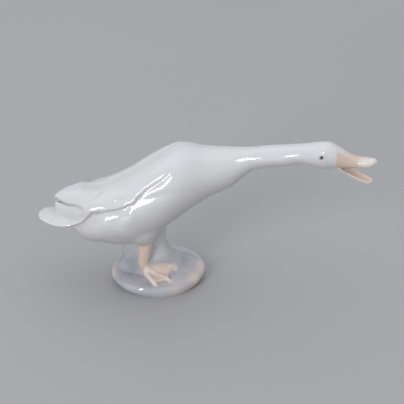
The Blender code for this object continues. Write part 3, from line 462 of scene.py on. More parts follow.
def wing_strip(x, top, low, thickness, side, softness=9):
    """Section of a wing at x: a lens between two angles of the arch."""
    outer, inner = [], []
    for t in evenly(0, 1, 33):
        angle = top + (low - top) * t
        power = 9 if t < 0.5 else softness
        swell = math.sqrt(max(0.0, 1 - abs(2 * t - 1) ** power))
        outer.append(arch_point(x, angle, side, thickness / 2 * (1 - swell)))
        inner.append(arch_point(x, angle, side, thickness / 2 * (1 + swell)))
    return outer + inner[::-1]


def wing_edge():
    """Lower and leading edge of the covering layer: place along X and height."""
    climb = WING_CORNER_HEIGHT - WING_REAR_HEIGHT
    turn, rise = WING_BEND_X - WING_CORNER_X, WING_BEND_HEIGHT - WING_CORNER_HEIGHT
    return [
        (WING_REAR_X, WING_REAR_HEIGHT),
        (HIP.x, WING_REAR_HEIGHT + climb * 0.50),
        (BELLY.x, WING_REAR_HEIGHT + climb * 0.88),
        (WING_CORNER_X, WING_CORNER_HEIGHT),
        (WING_CORNER_X + turn * 0.30, WING_CORNER_HEIGHT + rise * 0.38),
        (WING_BEND_X, WING_BEND_HEIGHT),
        ((WING_BEND_X + WING_FRONT_X) / 2, (WING_BEND_HEIGHT + WING_FRONT_HEIGHT) / 2),
        (WING_FRONT_X, WING_FRONT_HEIGHT),
    ]


def wing(side):
    """Covering layer of a folded wing, from the shoulder to its curved rear edge."""
    edge = wing_edge()
    rear = [(WING_REAR_X + WING_TUCK * on, math.radians(turn))
            for on, turn in ((0, 80), (0.06, 62), (0.22, 44), (0.50, 24))]
    rear.append((WING_REAR_X + WING_TUCK, -WING_OVERLAP))
    rings = []
    for x in evenly(WING_REAR_X, WING_FRONT_X, 150):
        low = arch_angle(x, along(edge, x)[0])
        top = min(along(rear, x)[0], low - WING_OVERLAP / 2)
        softness = 9 - 5 * ramp(x, WING_CORNER_X, WING_BEND_X)
        rings.append(wing_strip(x, top, low, WING_THICKNESS, side, softness))
    return loft("wing", rings)


def blade(side):
    """Long flight feathers of a wing, which run out over the tail to a point."""
    run = WING_REAR_X - TIP_X
    edge = [(TIP_X + run * on, math.radians(turn)) for on, turn in ((0, 88), (0.31, 80), (0.74, 76), (1, 68))]
    edge.append((HIP.x, math.radians(60)))
    rings = []
    for x in evenly(TIP_X, BELLY.x, 80):
        low = along(edge, x)[0]
        covered = ramp(x, WING_REAR_X - LAYER_STEP * 2.5, WING_REAR_X + LAYER_STEP * 2.5)
        flush = ramp(x, WING_REAR_X + WING_TUCK * 0.3, WING_REAR_X + WING_TUCK * 0.75)
        sink = Vector((0, 0, LAYER_STEP * covered * (1 - flush)))
        rings.append([point - sink for point in wing_strip(x, -WING_OVERLAP, low, BLADE_THICKNESS, side)])
    return loft("blade", rings)


def tail():
    """Fan of the tail: a crowned plate with a round end, whose sides rise to the wings."""
    length, root = WING_REAR_X - TAIL_X, WING_REAR_X + TAIL_ROOT
    tip, edge, rear, crown = TAIL_TIP_HEIGHT, TAIL_EDGE_HEIGHT, WING_REAR_HEIGHT, TAIL_CROWN
    rows = [
        (TAIL_X, 0.10, tip, crown * 0.1),
        (TAIL_X + length * 0.04, 0.40, tip, crown * 0.2),
        (TAIL_X + length * 0.10, 0.62, tip, crown * 0.35),
        (TAIL_X + length * 0.23, 0.84, tip - crown * 0.15, crown * 0.65),
        (TAIL_X + length * 0.49, 1.00, edge, crown),
        (TAIL_X + length * 0.76, 1.06, edge + crown * 0.3, crown * 1.7),
        (WING_REAR_X, 1.30, rear - crown * 0.75, crown * 1.6),
        (WING_REAR_X + TAIL_ROOT / 2, 1.38, rear + crown * 0.2, crown * 1.4),
        (root, 1.40, rear + crown * 0.65, crown),
    ]
    rings = []
    for x in evenly(TAIL_X, root, 70):
        spread, edge, crown = along(rows, x)
        wide = TAIL_WIDTH / 2 * spread
        heavy = 4 * ramp(x, TAIL_X, WING_REAR_X)
        over, under = [], []
        for q in evenly(-1, 1, 31):
            over.append(Vector((x, BODY_SIDE + wide * q, edge + crown * (1 - q * q))))
            thick = TAIL_THICKNESS * (1 + heavy * (1 - q * q)) * (1 - 0.6 * abs(q) ** 12)
            under.append(over[-1] - Vector((0, 0, thick)))
        rings.append(over + under[::-1])
    return loft("tail", rings)


def covert():
    """Rounded pad of short feathers that lies on the tail, under the wing tips."""
    foot = TAIL_EDGE_HEIGHT + TAIL_CROWN * 0.5
    rise, length = COVERT_HEIGHT - foot, SEAT.x - COVERT_X
    rows = [
        (COVERT_X, COVERT_WIDTH * 0.06, rise * 0.80),
        (COVERT_X + length * 0.04, COVERT_WIDTH * 0.17, rise * 0.92),
        (COVERT_X + length * 0.13, COVERT_WIDTH * 0.27, rise),
        (COVERT_X + length * 0.29, COVERT_WIDTH * 0.38, rise * 1.08),
        (RUMP.x, COVERT_WIDTH * 0.50, rise * 1.16),
        (SEAT.x, COVERT_WIDTH * 0.82, rise * 1.30),
    ]
    rings = []
    for x in evenly(COVERT_X, SEAT.x, 40):
        wide, high = along(rows, x)
        rings.append(upright_ring(Vector((x, BODY_SIDE, foot)), 0, wide, high, TAIL_CROWN, COVERT_FULLNESS))
    return loft("covert", rings)


def base_profile():
    """Mound from the foot up: share of the way in from the rim, share of the rim, height."""
    rim, crown = BASE_EDGE_HEIGHT, BASE_TOP_HEIGHT - BASE_EDGE_HEIGHT
    return [
        (1.00, 0.0, -2 * CUT_MARGIN),
        (1.00, 0.0, 0.0),
        (1.00, BASE_UNDER_CURVE, rim * 0.40),
        (1.00, 1.0, rim),
        (0.97, 1.0, rim + crown * BASE_EDGE_CURVE),
        (0.88, 1.0, rim + crown * (BASE_EDGE_CURVE + BASE_CROWN) / 2),
        (0.55, 1.0, rim + crown * BASE_CROWN),
        (0.05, 1.0, rim + crown),
    ]


def rim_point(share, out, angle, height):
    """Point of the mound: out is 0 on the foot's circle and 1 on the oval rim."""
    foot = Vector((math.cos(angle), math.sin(angle), 0)) * BASE_FOOT_DIAMETER / 2
    x = BASE_LENGTH / 2 * math.cos(angle)
    rim = Vector((x, BASE_SHIFT + BASE_SKEW * x + BASE_BREADTH / 2 * math.sin(angle), 0))
    middle = Vector((0, BASE_SHIFT, 0)) * out
    point = middle + (foot.lerp(rim, out) - middle) * share
    return point + Vector((0, 0, height))


def base():
    """Round mound with a full edge, undercut to a smaller foot."""
    rings = []
    for share, out, height in base_profile():
        rings.append([rim_point(share, out, angle, height) for angle in around(96)])
    return loft("base", rings)


def stand_stations():
    """Level sections of the stand: height, middle along X, middle across, half sizes."""
    half, deep = STAND_WIDTH / 2, STAND_DEPTH / 2
    skirt, apron = STAND_SKIRT_WIDTH / 2 - half, STAND_SKIRT_DEPTH / 2 - deep
    foot, climb, shift = BASE_TOP_HEIGHT, STAND_WAIST_HEIGHT - BASE_TOP_HEIGHT, STAND_SKIRT_SHIFT
    rows = [
        (foot - climb * 0.255, 0.96, 1.05),
        (foot - climb * 0.05, 0.90, 0.92),
        (foot + climb * 0.08, 0.74, 0.68),
        (foot + climb * 0.26, 0.53, 0.43),
        (foot + climb * 0.49, 0.24, 0.20),
        (STAND_WAIST_HEIGHT, 0.0, 0.0),
        (STAND_TOP, 0.0, 0.12),
    ]
    stations = []
    for height, lean, out in rows:
        x, side = STAND_X + shift * lean, STAND_SIDE + shift * lean * 0.3
        stations.append((height, x, side, half + skirt * out, deep + apron * out))
    return stations


def stand():
    """Core of flowing folds that carries the belly and spreads out over the mound."""
    rows = stand_stations()
    climb = STAND_WAIST_HEIGHT - BASE_TOP_HEIGHT
    rings = []
    for height in evenly(rows[0][0], STAND_TOP, 70):
        x, side, wide, thick = along(rows, height)
        sway = FOLD_TWIST * math.cos(math.pi * height / STAND_TOP)
        deep = FOLD_DEPTH * ramp(height, BASE_TOP_HEIGHT + climb * 0.2, BASE_TOP_HEIGHT + climb * 0.5)
        ring = []
        for angle in around(240):
            front = ramp(math.cos(angle), 0.1, 0.6)
            fold = 1 + deep * front * math.cos(FOLD_COUNT * angle + sway * math.sin(angle) * 2)
            across = Vector((wide * math.cos(angle), thick * math.sin(angle), 0))
            ring.append(Vector((x, side, height)) + across * fold)
        rings.append(ring)
    return loft("stand", rings)


def ground_height(x, y):
    """Height of the mound and the stand's skirt under a point."""
    share = math.hypot(x / (BASE_LENGTH / 2), (y - BASE_SHIFT - BASE_SKEW * x) / (BASE_BREADTH / 2))
    domed = [(1 - row[0], row[2]) for row in base_profile()[3:]]
    ground = along(domed, 1 - share)[0]
    rows = stand_stations()
    for height in evenly(rows[1][0], HEEL_HEIGHT, 24):
        middle, side, wide, thick = along(rows, height)
        if math.hypot((x - middle) / wide, (y - side) / thick) < 1:
            ground = max(ground, height)
    return ground


def leg_rows():
    """A leg from heel to belly: share of the way, place along X, distance from the middle, height, radius."""
    radius = LEG_DIAMETER / 2
    return [
        (0.0, HEEL_X, HEEL_SPREAD / 2, HEEL_HEIGHT - radius, radius * 0.72),
        (0.25, HEEL_X, HEEL_SPREAD / 2, HEEL_HEIGHT + LEG_LENGTH * 0.11, radius * 0.80),
        (0.5, LEG_X, LEG_SPREAD / 2, HEEL_HEIGHT + LEG_LENGTH * 0.44, radius),
        (1.0, LEG_X, LEG_SPREAD / 2, HEEL_HEIGHT + LEG_LENGTH, radius * 1.30),
    ]


def leg(side):
    """One leg, from inside the belly to the heel."""
    points, radii = [], []
    for t in evenly(0, 1, 24):
        x, spread, height, thick = along(leg_rows(), t)
        points.append(Vector((x, STAND_SIDE + side * spread, height)))
        radii.append(thick)
    return tube("leg", points, radii)


def thigh(side):
    """Swelling of the belly over a leg."""
    rings = []
    for angle in evenly(0.06, math.pi - 0.06, 30):
        x, across = THIGH_X - THIGH_LENGTH / 2 * math.cos(angle), BODY_SIDE + side * THIGH_SPREAD / 2
        wide, depth = THIGH_WIDTH / 2 * math.sin(angle), THIGH_DEPTH / 2 * math.sin(angle)
        rings.append(upright_ring(Vector((x, across, THIGH_HEIGHT)), 0, wide, depth, depth))
    return loft("thigh", rings)


def heel_point(side):
    """Where the toes of a foot meet, on the ground plane."""
    return Vector((HEEL_X, STAND_SIDE + side * HEEL_SPREAD / 2, 0))


def toe_tips(side):
    """Ends of the three toes of a foot, from the outer to the inner one."""
    turns = ((FOOT_TURN + TOE_SPREAD, OUTER_TOE), (FOOT_TURN, 1.0), (FOOT_TURN - TOE_SPREAD, INNER_TOE))
    return [heel_point(side) + Vector((math.cos(turn), side * math.sin(turn), 0)) * FOOT_LENGTH * reach
            for turn, reach in turns]


def on_ground(point, lift):
    """The point moved to a lift above the mound and skirt."""
    return Vector((point.x, point.y, ground_height(point.x, point.y) + lift))


def toe(side, tip):
    """One toe, which lies along the ground from heel to tip."""
    points, radii = [], []
    for t in evenly(0, 1, 22):
        points.append(on_ground(heel_point(side).lerp(tip, t), WEB_THICKNESS * 0.6))
        radii.append(TOE_DIAMETER / 2 * (1.5 - 0.8 * math.sqrt(t)) * math.sqrt(1 - 0.9 * t**12))
    return tube("toe", points, radii)


def web(side):
    """Skin between the toes of a foot, with hollow edges from tip to tip."""
    heel, tips = heel_point(side), toe_tips(side)
    edge = []
    for before, after in zip(tips, tips[1:]):
        for t in evenly(0, 1, 9):
            edge.append(before.lerp(after, t).lerp(heel, WEB_NOTCH * 4 * t * (1 - t)))
    rings = []
    for t in evenly(0.04, 0.98, 18):
        over = [on_ground(heel.lerp(point, t), WEB_THICKNESS) for point in edge]
        under = [point - Vector((0, 0, WEB_THICKNESS + TOE_DIAMETER)) for point in reversed(over)]
        rings.append(over + under)
    return loft("web", rings)


def forms():
    """All the forms that the casting is melted from."""
    made = [body(), jaw(), tail(), covert(), base(), stand()]
    for side in (-1, 1):
        made += [eye(side), wing(side), blade(side), thigh(side), leg(side), web(side)]
        made += [toe(side, tip) for tip in toe_tips(side)]
    return made


def flank_point(x, height, side):
    """Point on the torso's side at a place along X and a height."""
    middle, width, rise, drop = along(TORSO, x)
    reach = (height - middle) / (rise if height > middle else drop)
    return Vector((x, BODY_SIDE + side * width / 2 * math.sqrt(max(0.0, 1 - reach**2)), height))


def creases(side):
    """Hollows that are pressed into the plumage: points, depth and width of each."""
    corner, lower = WING_CORNER_X, WING_CORNER_HEIGHT
    back, climb = WING_REAR_X - corner, lower - WING_REAR_HEIGHT

    def on_wing(rows):
        return [arch_point(x, arch_angle(x, height), side) for x, height in even_rows(rows)]

    def on_flank(rows):
        return [flank_point(x, height, side) for x, height in even_rows(rows)]

    feather = [(corner + FEATHER_RUN * on, lower + FEATHER_RUN * up)
               for on, up in ((-1.00, -0.18), (-0.65, 0.01), (-0.23, 0.22))]
    armpit = [(corner + back * on, lower - climb * down)
              for on, down in ((0.83, 0.86), (0.54, 0.59), (0.30, 0.46))]
    breast = [(corner + BREAST_RUN * on, lower + BREAST_RUN * up)
              for on, up in ((0.0, 0.0), (0.30, 0.11), (0.61, 0.23), (1.0, 0.315))]
    thigh = [(THIGH_X - THIGH_LENGTH * on, THIGH_HEIGHT - THIGH_DEPTH * down)
             for on, down in ((0.67, 0.05), (0.58, 0.13), (0.43, 0.225), (0.31, 0.34))]
    turns = [(BREAST.x - SHOULDER_RUN * on, math.radians(turn))
             for on, turn in ((1.0, 3), (0.44, 6), (0.0, 10))]
    shoulder = [arch_point(x, turn, side) for x, turn in even_rows(turns)]
    return [
        (on_wing(feather), FEATHER_CREASE, FEATHER_CREASE_WIDTH),
        (on_flank(armpit), ARMPIT, ARMPIT_WIDTH),
        (on_flank(breast), BREAST_CREASE, BREAST_CREASE_WIDTH),
        (on_flank(thigh), THIGH_HOLLOW, THIGH_HOLLOW_WIDTH),
        (shoulder, SHOULDER_CREASE, SHOULDER_CREASE_WIDTH),
    ]


def line_distance(places, points):
    """Distance of each place from a path, and how far along the path it is."""
    nearest, share = np.full(len(places), np.inf), np.zeros(len(places))
    for k, (before, after) in enumerate(zip(points, points[1:])):
        start, span = np.array(before), np.array(after - before)
        t = np.clip((places - start) @ span / (span @ span), 0, 1)
        away = np.linalg.norm(places - start - t[:, None] * span, axis=1)
        share = np.where(away < nearest, (k + t) / (len(points) - 1), share)
        nearest = np.minimum(away, nearest)
    return nearest, share


def mesh_places(thing):
    """Places and normals of a mesh's points."""
    count = len(thing.data.vertices)
    spots, normals = np.empty(count * 3), np.empty(count * 3)
    thing.data.vertices.foreach_get("co", spots)
    thing.data.vertices.foreach_get("normal", normals)
    return spots.reshape(-1, 3), normals.reshape(-1, 3)


def move_points(thing, places):
    """Move a mesh's points to their new places."""
    thing.data.vertices.foreach_set("co", places.ravel())
    thing.data.update()


def press(thing, points, depth, width):
    """Press a soft hollow into the skin along a path. It fades out at both ends."""
    places, normals = mesh_places(thing)
    nearest, share = line_distance(places, points)
    bell = np.exp(-((nearest / width) ** 2)) * np.sin(np.pi * np.clip(share, 0.05, 0.95)) ** 0.7
    move_points(thing, places - normals * (depth * bell)[:, None])


def blend_zones():
    """Places where the forms flow into each other, with the reach of each."""
    zones = []
    low, lowest = THIGH_HEIGHT - THIGH_DEPTH * 0.25, THIGH_HEIGHT - THIGH_DEPTH * 0.40
    for side in (-1, 1):
        hip = BODY_SIDE + side * (THIGH_SPREAD + THIGH_WIDTH * 0.4) / 2
        shoulder = arch_angle(WING_FRONT_X, WING_FRONT_HEIGHT)
        zones += [
            (Vector((THIGH_X - THIGH_LENGTH * 0.42, hip, low)), BLEND_REACH * 1.6),
            (Vector((THIGH_X + THIGH_LENGTH * 0.45, hip, low)), BLEND_REACH),
            (Vector((THIGH_X, hip, lowest)), BLEND_REACH),
            (Vector((THIGH_X, hip + side * THIGH_WIDTH / 4, THIGH_HEIGHT)), BLEND_REACH * 1.4),
            (arch_point(WING_FRONT_X, shoulder, side), BLEND_REACH),
            (arch_point(WING_REAR_X - BLEND_REACH * 0.4, math.radians(76), side), BLEND_REACH / 2),
        ]
    return zones


def smooth(thing, rounds, group=""):
    """Add smoothing of the whole skin, or of a group of its points."""
    flow = thing.modifiers.new("flow", "SMOOTH")
    flow.factor = 0.5
    flow.iterations = rounds
    flow.vertex_group = group


def soften(thing, distances, rounds):
    """Smooth the skin within reach of some places, given by the distances of all points from each."""
    share = np.max([np.clip(2 * (1 - away / reach), 0, 1) for away, reach in distances], axis=0)
    group = thing.vertex_groups.new(name="soft")
    for number in np.nonzero(share > 0)[0]:
        group.add([int(number)], float(share[number]), "REPLACE")
    smooth(thing, rounds, group.name)
    settle(thing)
    thing.vertex_groups.clear()


def blend(thing):
    """Smooth the skin strongly around the blend zones."""
    places, _ = mesh_places(thing)
    soften(thing, [(np.linalg.norm(places - np.array(centre), axis=1), reach)
                   for centre, reach in blend_zones()], BLENDING)


def ease(thing, paths, reach, rounds):
    """Smooth the skin around paths."""
    places, _ = mesh_places(thing)
    soften(thing, [(line_distance(places, points)[0], reach) for points in paths], rounds)


def settle(thing):
    """Turn a form and its modifiers into a plain mesh."""
    bpy.context.view_layer.update()
    seen = thing.evaluated_get(bpy.context.evaluated_depsgraph_get())
    old = thing.data
    thing.data = bpy.data.meshes.new_from_object(seen)
    thing.modifiers.clear()
    bpy.data.meshes.remove(old)


def fuse(pieces, name):
    """Join the forms and melt them into one skin with soft inner corners."""
    whole = bmesh.new()
    for piece in pieces:
        whole.from_mesh(piece.data)
        bpy.data.objects.remove(piece, do_unlink=True)
    thing = solid(name, whole)
    melt = thing.modifiers.new("melt", "REMESH")
    melt.mode = "VOXEL"
    melt.voxel_size = VOXEL
    smooth(thing, SOFTENING)
    settle(thing)
    blend(thing)
    for side in (-1, 1):
        for points, depth, width in creases(side):
            press(thing, points, depth, width)
    smooth(thing, SOFTENING // 2)
    thin = thing.modifiers.new("thin", "DECIMATE")
    thin.ratio = TRIANGLES / (2 * len(thing.data.polygons))
    settle(thing)
    return thing


def cut_flat(thing):
    """Slice the underside off at the ground, which leaves one flat face."""
    mesh = bmesh.new()
    mesh.from_mesh(thing.data)
    everything = mesh.verts[:] + mesh.edges[:] + mesh.faces[:]
    cut = bmesh.ops.bisect_plane(mesh, geom=everything, plane_co=(0, 0, 0), plane_no=(0, 0, 1),
                                 clear_inner=True)
    rim = [piece for piece in cut["geom_cut"] if isinstance(piece, bmesh.types.BMEdge)]
    bmesh.ops.contextual_create(mesh, geom=rim)
    bmesh.ops.recalc_face_normals(mesh, faces=mesh.faces)
    mesh.to_mesh(thing.data)
    mesh.free()


def hollows(thing, places, normals, rounds=6):
    """How hollow the skin is at each point: above 0 in creases, below 0 on ridges."""
    count = len(thing.data.edges)
    ends = np.empty(count * 2, np.int64)
    thing.data.edges.foreach_get("vertices", ends)
    ends = ends.reshape(-1, 2)
    links = np.bincount(ends.ravel(), minlength=len(places)).astype(float)

    def neighbours(values):
        total = np.zeros_like(values)
        np.add.at(total, ends[:, 0], values[ends[:, 1]])
        np.add.at(total, ends[:, 1], values[ends[:, 0]])
        return total / links.reshape((-1,) + (1,) * (values.ndim - 1))

    smooth = places
    for _ in range(rounds):
        smooth = neighbours(smooth)
    bend = np.einsum("ij,ij->i", smooth - places, normals)
    for _ in range(3):
        bend = neighbours(bend)
    return bend


def neck_places(places):
    """The same places as forward, side and height along the neck's own direction."""
    offset = places - np.array((NECK_X, NECK_SIDE, NECK_HEIGHT))
    forward = offset[:, 0] * math.cos(NECK_TURN) + offset[:, 1] * math.sin(NECK_TURN)
    side = offset[:, 1] * math.cos(NECK_TURN) - offset[:, 0] * math.sin(NECK_TURN)
    return np.stack([forward, side, offset[:, 2]], axis=1)


def outside_torso(places):
    """How far outside the torso's sections each place is: 1 on the torso's skin."""
    keys = evenly(RUMP.x, NAPE.x, 60)
    rows = np.array([along(TORSO, key) for key in keys])
    middle, width, rise, drop = (np.interp(places[:, 0], keys, column) for column in rows.T)
    height = places[:, 2] - middle
    return np.hypot(height / np.where(height > 0, rise, drop), (places[:, 1] - BODY_SIDE) / (width / 2))


def wing_gap(side):
    """Points along the gap under a wing tip."""
    return [Vector((x, BODY_SIDE + side * across, height)) for x, across, height in WING_GAP]


def wing_borders(side):
    """Paths along a wing's rear lower border and along its seam on the back."""
    rows = even_rows(wing_edge()[:4])[:-3]
    places = evenly(WING_REAR_X + WING_TUCK, WING_FRONT_X, 20)
    border = [arch_point(x, arch_angle(x, height), side) for x, height in rows]
    return border, [arch_point(x, -WING_OVERLAP, side) for x in places]


def leg_top(side):
    """Short path down the top of a leg."""
    spread, top = STAND_SIDE + side * LEG_SPREAD / 2, HEEL_HEIGHT + LEG_LENGTH
    return [Vector((LEG_X, spread, top - drop)) for drop in (0, LEG_TOP_REACH / 2)]


def refine(thing):
    """Fine relief: softer feather borders, the flank's ridges and the gaps under the wing tips."""
    borders, seams = zip(*(wing_borders(side) for side in (-1, 1)))
    ease(thing, [leg_top(side) for side in (-1, 1)], LEG_TOP_REACH, LEG_TOP_ROUNDS)
    ease(thing, borders, EDGE_REACH, EDGE_ROUNDS)
    ease(thing, seams, SEAM_REACH, SEAM_ROUNDS)
    relief = (
        (FLANK_RIDGES, -RIDGE_HEIGHT, RIDGE_WIDTH),
        (FLANK_HOLLOWS, FLANK_HOLLOW, FLANK_HOLLOW_WIDTH),
    )
    for side in (-1, 1):
        for lines, depth, width in relief:
            for x, top, bottom in lines:
                points = [flank_point(x, height, side) for height in evenly(top, bottom, 6)]
                press(thing, points, depth, width)
        press(thing, wing_gap(side), WING_GAP_DEPTH, WING_GAP_WIDTH)
    smooth(thing, FINISH_ROUNDS)
    settle(thing)


def pierce_vent(thing):
    """Cut the blind firing hole in the underside, beside the middle."""
    bpy.ops.mesh.primitive_cylinder_add(vertices=24, radius=VENT_DIAMETER / 2, depth=2 * VENT_DEPTH,
                                        location=(-VENT_OFFSET, 0, 0))
    drill = bpy.context.active_object
    hole = thing.modifiers.new("vent", "BOOLEAN")
    hole.operation = "DIFFERENCE"
    hole.solver = "EXACT"
    hole.object = drill
    settle(thing)
    bpy.data.objects.remove(drill, do_unlink=True)


def keep_inside(thing, box):
    """Hold the skin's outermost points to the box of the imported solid."""
    places, _ = mesh_places(thing)
    move_points(thing, np.clip(places, *np.array(box)))


def spot(places, centre, size):
    """Soft round spot about a point: 1 in its middle, fading over its size."""
    return np.exp(-(np.linalg.norm(places - np.array(centre), axis=1) / size) ** 2)


def leg_cover(places, side):
    """1 on a leg and 0 beside it, by the distance from the middle of the leg."""
    rows = leg_rows()
    points = [Vector((x, STAND_SIDE + side * spread, height)) for _, x, spread, height, _ in rows]
    away, share = line_distance(places, points)
    thick = np.interp(share, np.linspace(0, 1, len(rows)), [row[-1] for row in rows])
    return ramp(away, thick + LEG_PAINT_EDGE, thick + LEG_PAINT_EDGE * 0.2)


def web_cover(places, side):
    """1 on the foot's web and 0 beside it, seen from above."""
    flat = places[:, :2] - np.array(heel_point(side))[:2]
    turn = np.arctan2(flat[:, 1] * side, flat[:, 0])
    reach = np.hypot(flat[:, 0], flat[:, 1])
    angles = [FOOT_TURN - TOE_SPREAD, FOOT_TURN, FOOT_TURN + TOE_SPREAD]
    lengths = [FOOT_LENGTH * INNER_TOE, FOOT_LENGTH, FOOT_LENGTH * OUTER_TOE]
    inside = np.zeros(len(places))
    for low, high, near, far in zip(angles, angles[1:], lengths, lengths[1:]):
        t = (turn - low) / (high - low)
        rim = (near + (far - near) * t) * (0.98 - WEB_NOTCH * 4 * t * (1 - t))
        cover = ramp(reach - rim, *WEB_EDGE)
        inside = np.where((t >= 0) & (t <= 1), np.maximum(inside, cover), inside)
    return inside


def beak_layers(places, normals):
    """Masks of the beak's colours."""
    neck = neck_places(places)
    ahead, below = neck[:, 0] - BILL_LINE, NECK_CLIMB + HEAD_CLIMB - neck[:, 2]
    ridge = ramp(normals[:, 2], *RIDGE_FACING) * (1 - ramp(ahead, *RIDGE_FADE))
    bill = ramp(ahead - BILL_SWEEP * np.abs(neck[:, 1]), -BILL_FADE, BILL_FADE) * (1 - 0.8 * ridge)
    tip, jaw_skin = ramp(ahead, *BILL_TIP_FADE), bill * ramp(below, *MOUTH_FADE)
    facing_up = ramp(normals[:, 2], *MOUTH_FACING)
    return {
        "bill": bill,
        "bill_tip": tip,
        "bill_end": ramp(ahead, *BILL_END_FADE),
        "bill_low": ramp(below, *BILL_LOW_FADE) * (1 - tip),
        "mouth": jaw_skin * facing_up,
        "jaw_wall": jaw_skin * (1 - facing_up),
    }


def mound_layers(places, out):
    """Masks of the stand's and the mound's colours, one of them partly a painted highlight."""
    height = places[:, 2]
    low = 1 - ramp(height, STAND_TOP - STAND_FADE, STAND_TOP + STAND_FADE_TOP)
    layers = {
        "mound": ramp(out, *MOUND_OUT) * low,
        "rim": 1 - ramp(height - BASE_EDGE_HEIGHT, *RIM_FADE),
        "bare": 1 - ramp(height, *BARE_FADE),
    }
    for name, rows in PATCHES.items():
        patches = [strength * spot(places, centre, size) for strength, centre, size in rows]
        layers[name] = np.clip(sum(patches), 0, 1)
    return layers


def foot_layers(places, out):
    """Masks of the painted legs and feet, and of the toes on them."""
    legs, feet, toes = np.zeros((3, len(places)))
    for side in (-1, 1):
        legs = np.maximum(legs, leg_cover(places, side))
        feet = np.maximum(feet, web_cover(places, side))
        for tip in toe_tips(side):
            away, _ = line_distance(places * (1, 1, 0), [heel_point(side), tip])
            feet = np.maximum(feet, ramp(away / TOE_DIAMETER, *TOE_PAINT))
            toes = np.maximum(toes, ramp(away / TOE_DIAMETER, *TOE_RIDGE))
    height = places[:, 2]
    feet = feet * (1 - ramp(height - HEEL_HEIGHT, *FOOT_TOP_FADE))
    feet = feet * ramp(height - BASE_EDGE_HEIGHT, *FOOT_LOW_FADE)
    behind = ramp(places[:, 0] - HEEL_X, *HEEL_FADE) * (1 - ramp(height - HEEL_HEIGHT, *HEEL_TOP_FADE))
    foot = np.maximum(legs, feet) * ramp(out, *FOOT_OUT) * (1 - HEEL_PALENESS * behind)
    return {"foot": foot, "toe": toes * feet}


def skin_layers(thing, places, normals):
    """Masks of painted shade where the skin faces down and in its hollows, of painted light on its ridges, of
    the pink cheeks and of painted shadow in the gaps under the wings.
    """
    gap, cheeks = np.zeros(len(places)), 0
    for side in (-1, 1):
        away, share = line_distance(places, wing_gap(side))
        # Painted shadow along the gap under the wing tip.
        dark = ramp(away / WING_GAP_WIDTH, *GAP_SHADOW_WIDTH) * ramp(share, *GAP_SHADOW_END)
        gap = np.maximum(gap, dark)
        cheeks = cheeks + spot(places, eye_centre(side) - Vector((0, 0, CHEEK_DROP)), CHEEK_SIZE)
    bend = hollows(thing, places, normals)
    return {
        "shade": ramp(normals[:, 2], *SHADE_FACING),
        # Painted shade where the skin faces down.
        "cheek": cheeks,
        "gap": gap,
        # Painted shade in the hollows and painted light on the ridges.
        "crease_shade": np.clip(bend / CREASE_BEND, 0, 1),
        "ridge": np.clip(-bend / RIDGE_BEND, 0, 1),
    }


def paint_layers(thing):
    """Soft masks for each colour under the glaze and for the painted shade, shadow and light, as named layers
    on the skin.
    """
    places, normals = mesh_places(thing)
    out = outside_torso(places)
    layers = {**beak_layers(places, normals), **mound_layers(places, out), **foot_layers(places, out),
              **skin_layers(thing, places, normals)}
    for name, values in layers.items():
        layer = thing.data.attributes.new(name, "FLOAT", "POINT")
        layer.data.foreach_set("value", values.astype(np.float32))


class Brush:
    """Builds a material's nodes. A value on an input may be a number, a colour or another node's socket."""

    def __init__(self, name):
        self.material = bpy.data.materials.new(name)
        self.material.use_nodes = True
        self.tree = self.material.node_tree

    def feed(self, node, values):
        """Give a node's inputs their values, by name or number."""
        for key, value in values.items():
            if isinstance(value, bpy.types.NodeSocket):
                self.tree.links.new(value, node.inputs[key])
            else:
                node.inputs[key].default_value = value

    def node(self, kind, values, **settings):
        """A new node with its settings and the values of its inputs."""
        made = self.tree.nodes.new(kind)
        for name, value in settings.items():
            setattr(made, name, value)
        self.feed(made, values)
        return made

    def shade(self, values):
        """Give the shader's inputs their values, and return the finished material."""
        self.feed(self.tree.nodes["Principled BSDF"], values)
        return self.material

    def layer(self, name):
        """A painted layer of the mesh."""
        return self.node("ShaderNodeAttribute", {}, attribute_name=name).outputs["Fac"]

    def places(self, scale=(1, 1, 1)):
        """Object places, stretched by a scale."""
        source = self.node("ShaderNodeTexCoord", {}).outputs["Object"]
        return self.node("ShaderNodeMapping", {"Vector": source, "Scale": scale}).outputs["Vector"]

    def noise(self, scale, detail=3.0, roughness=0.5, stretch=(1, 1, 1)):
        """Cloudy pattern between 0 and 1."""
        values = {"Vector": self.places(stretch), "Scale": scale, "Detail": detail, "Roughness": roughness}
        return self.node("ShaderNodeTexNoise", values).outputs["Fac"]

    def remap(self, source, low, high, to_low=0.0, to_high=1.0):
        """The source's range from low to high, stretched to another."""
        values = {"Value": source, "From Min": low, "From Max": high, "To Min": to_low, "To Max": to_high}
        return self.node("ShaderNodeMapRange", values, interpolation_type="SMOOTHSTEP").outputs["Result"]

    def times(self, first, second):
        """Product of two values."""
        values = {0: first, 1: second}
        return self.node("ShaderNodeMath", values, operation="MULTIPLY", use_clamp=True).outputs["Value"]

    def coat(self, under, colour, cover):
        """A colour laid over another where the cover is 1."""
        values = {"Factor": cover, "A": under, "B": colour}
        return self.node("ShaderNodeMix", values, data_type="RGBA").outputs["Result"]

    def tint(self, under, colour, layer, strength):
        """A colour laid over another where a painted layer is 1, as strongly as told."""
        return self.coat(under, colour, self.times(self.layer(layer), strength))

    def near(self, centre, low, high):
        """1 within a distance of a point, and 0 beyond another."""
        away = self.node("ShaderNodeVectorMath", {0: self.places(), 1: centre}, operation="DISTANCE")
        return self.remap(away.outputs["Value"], low, high, 1.0, 0.0)


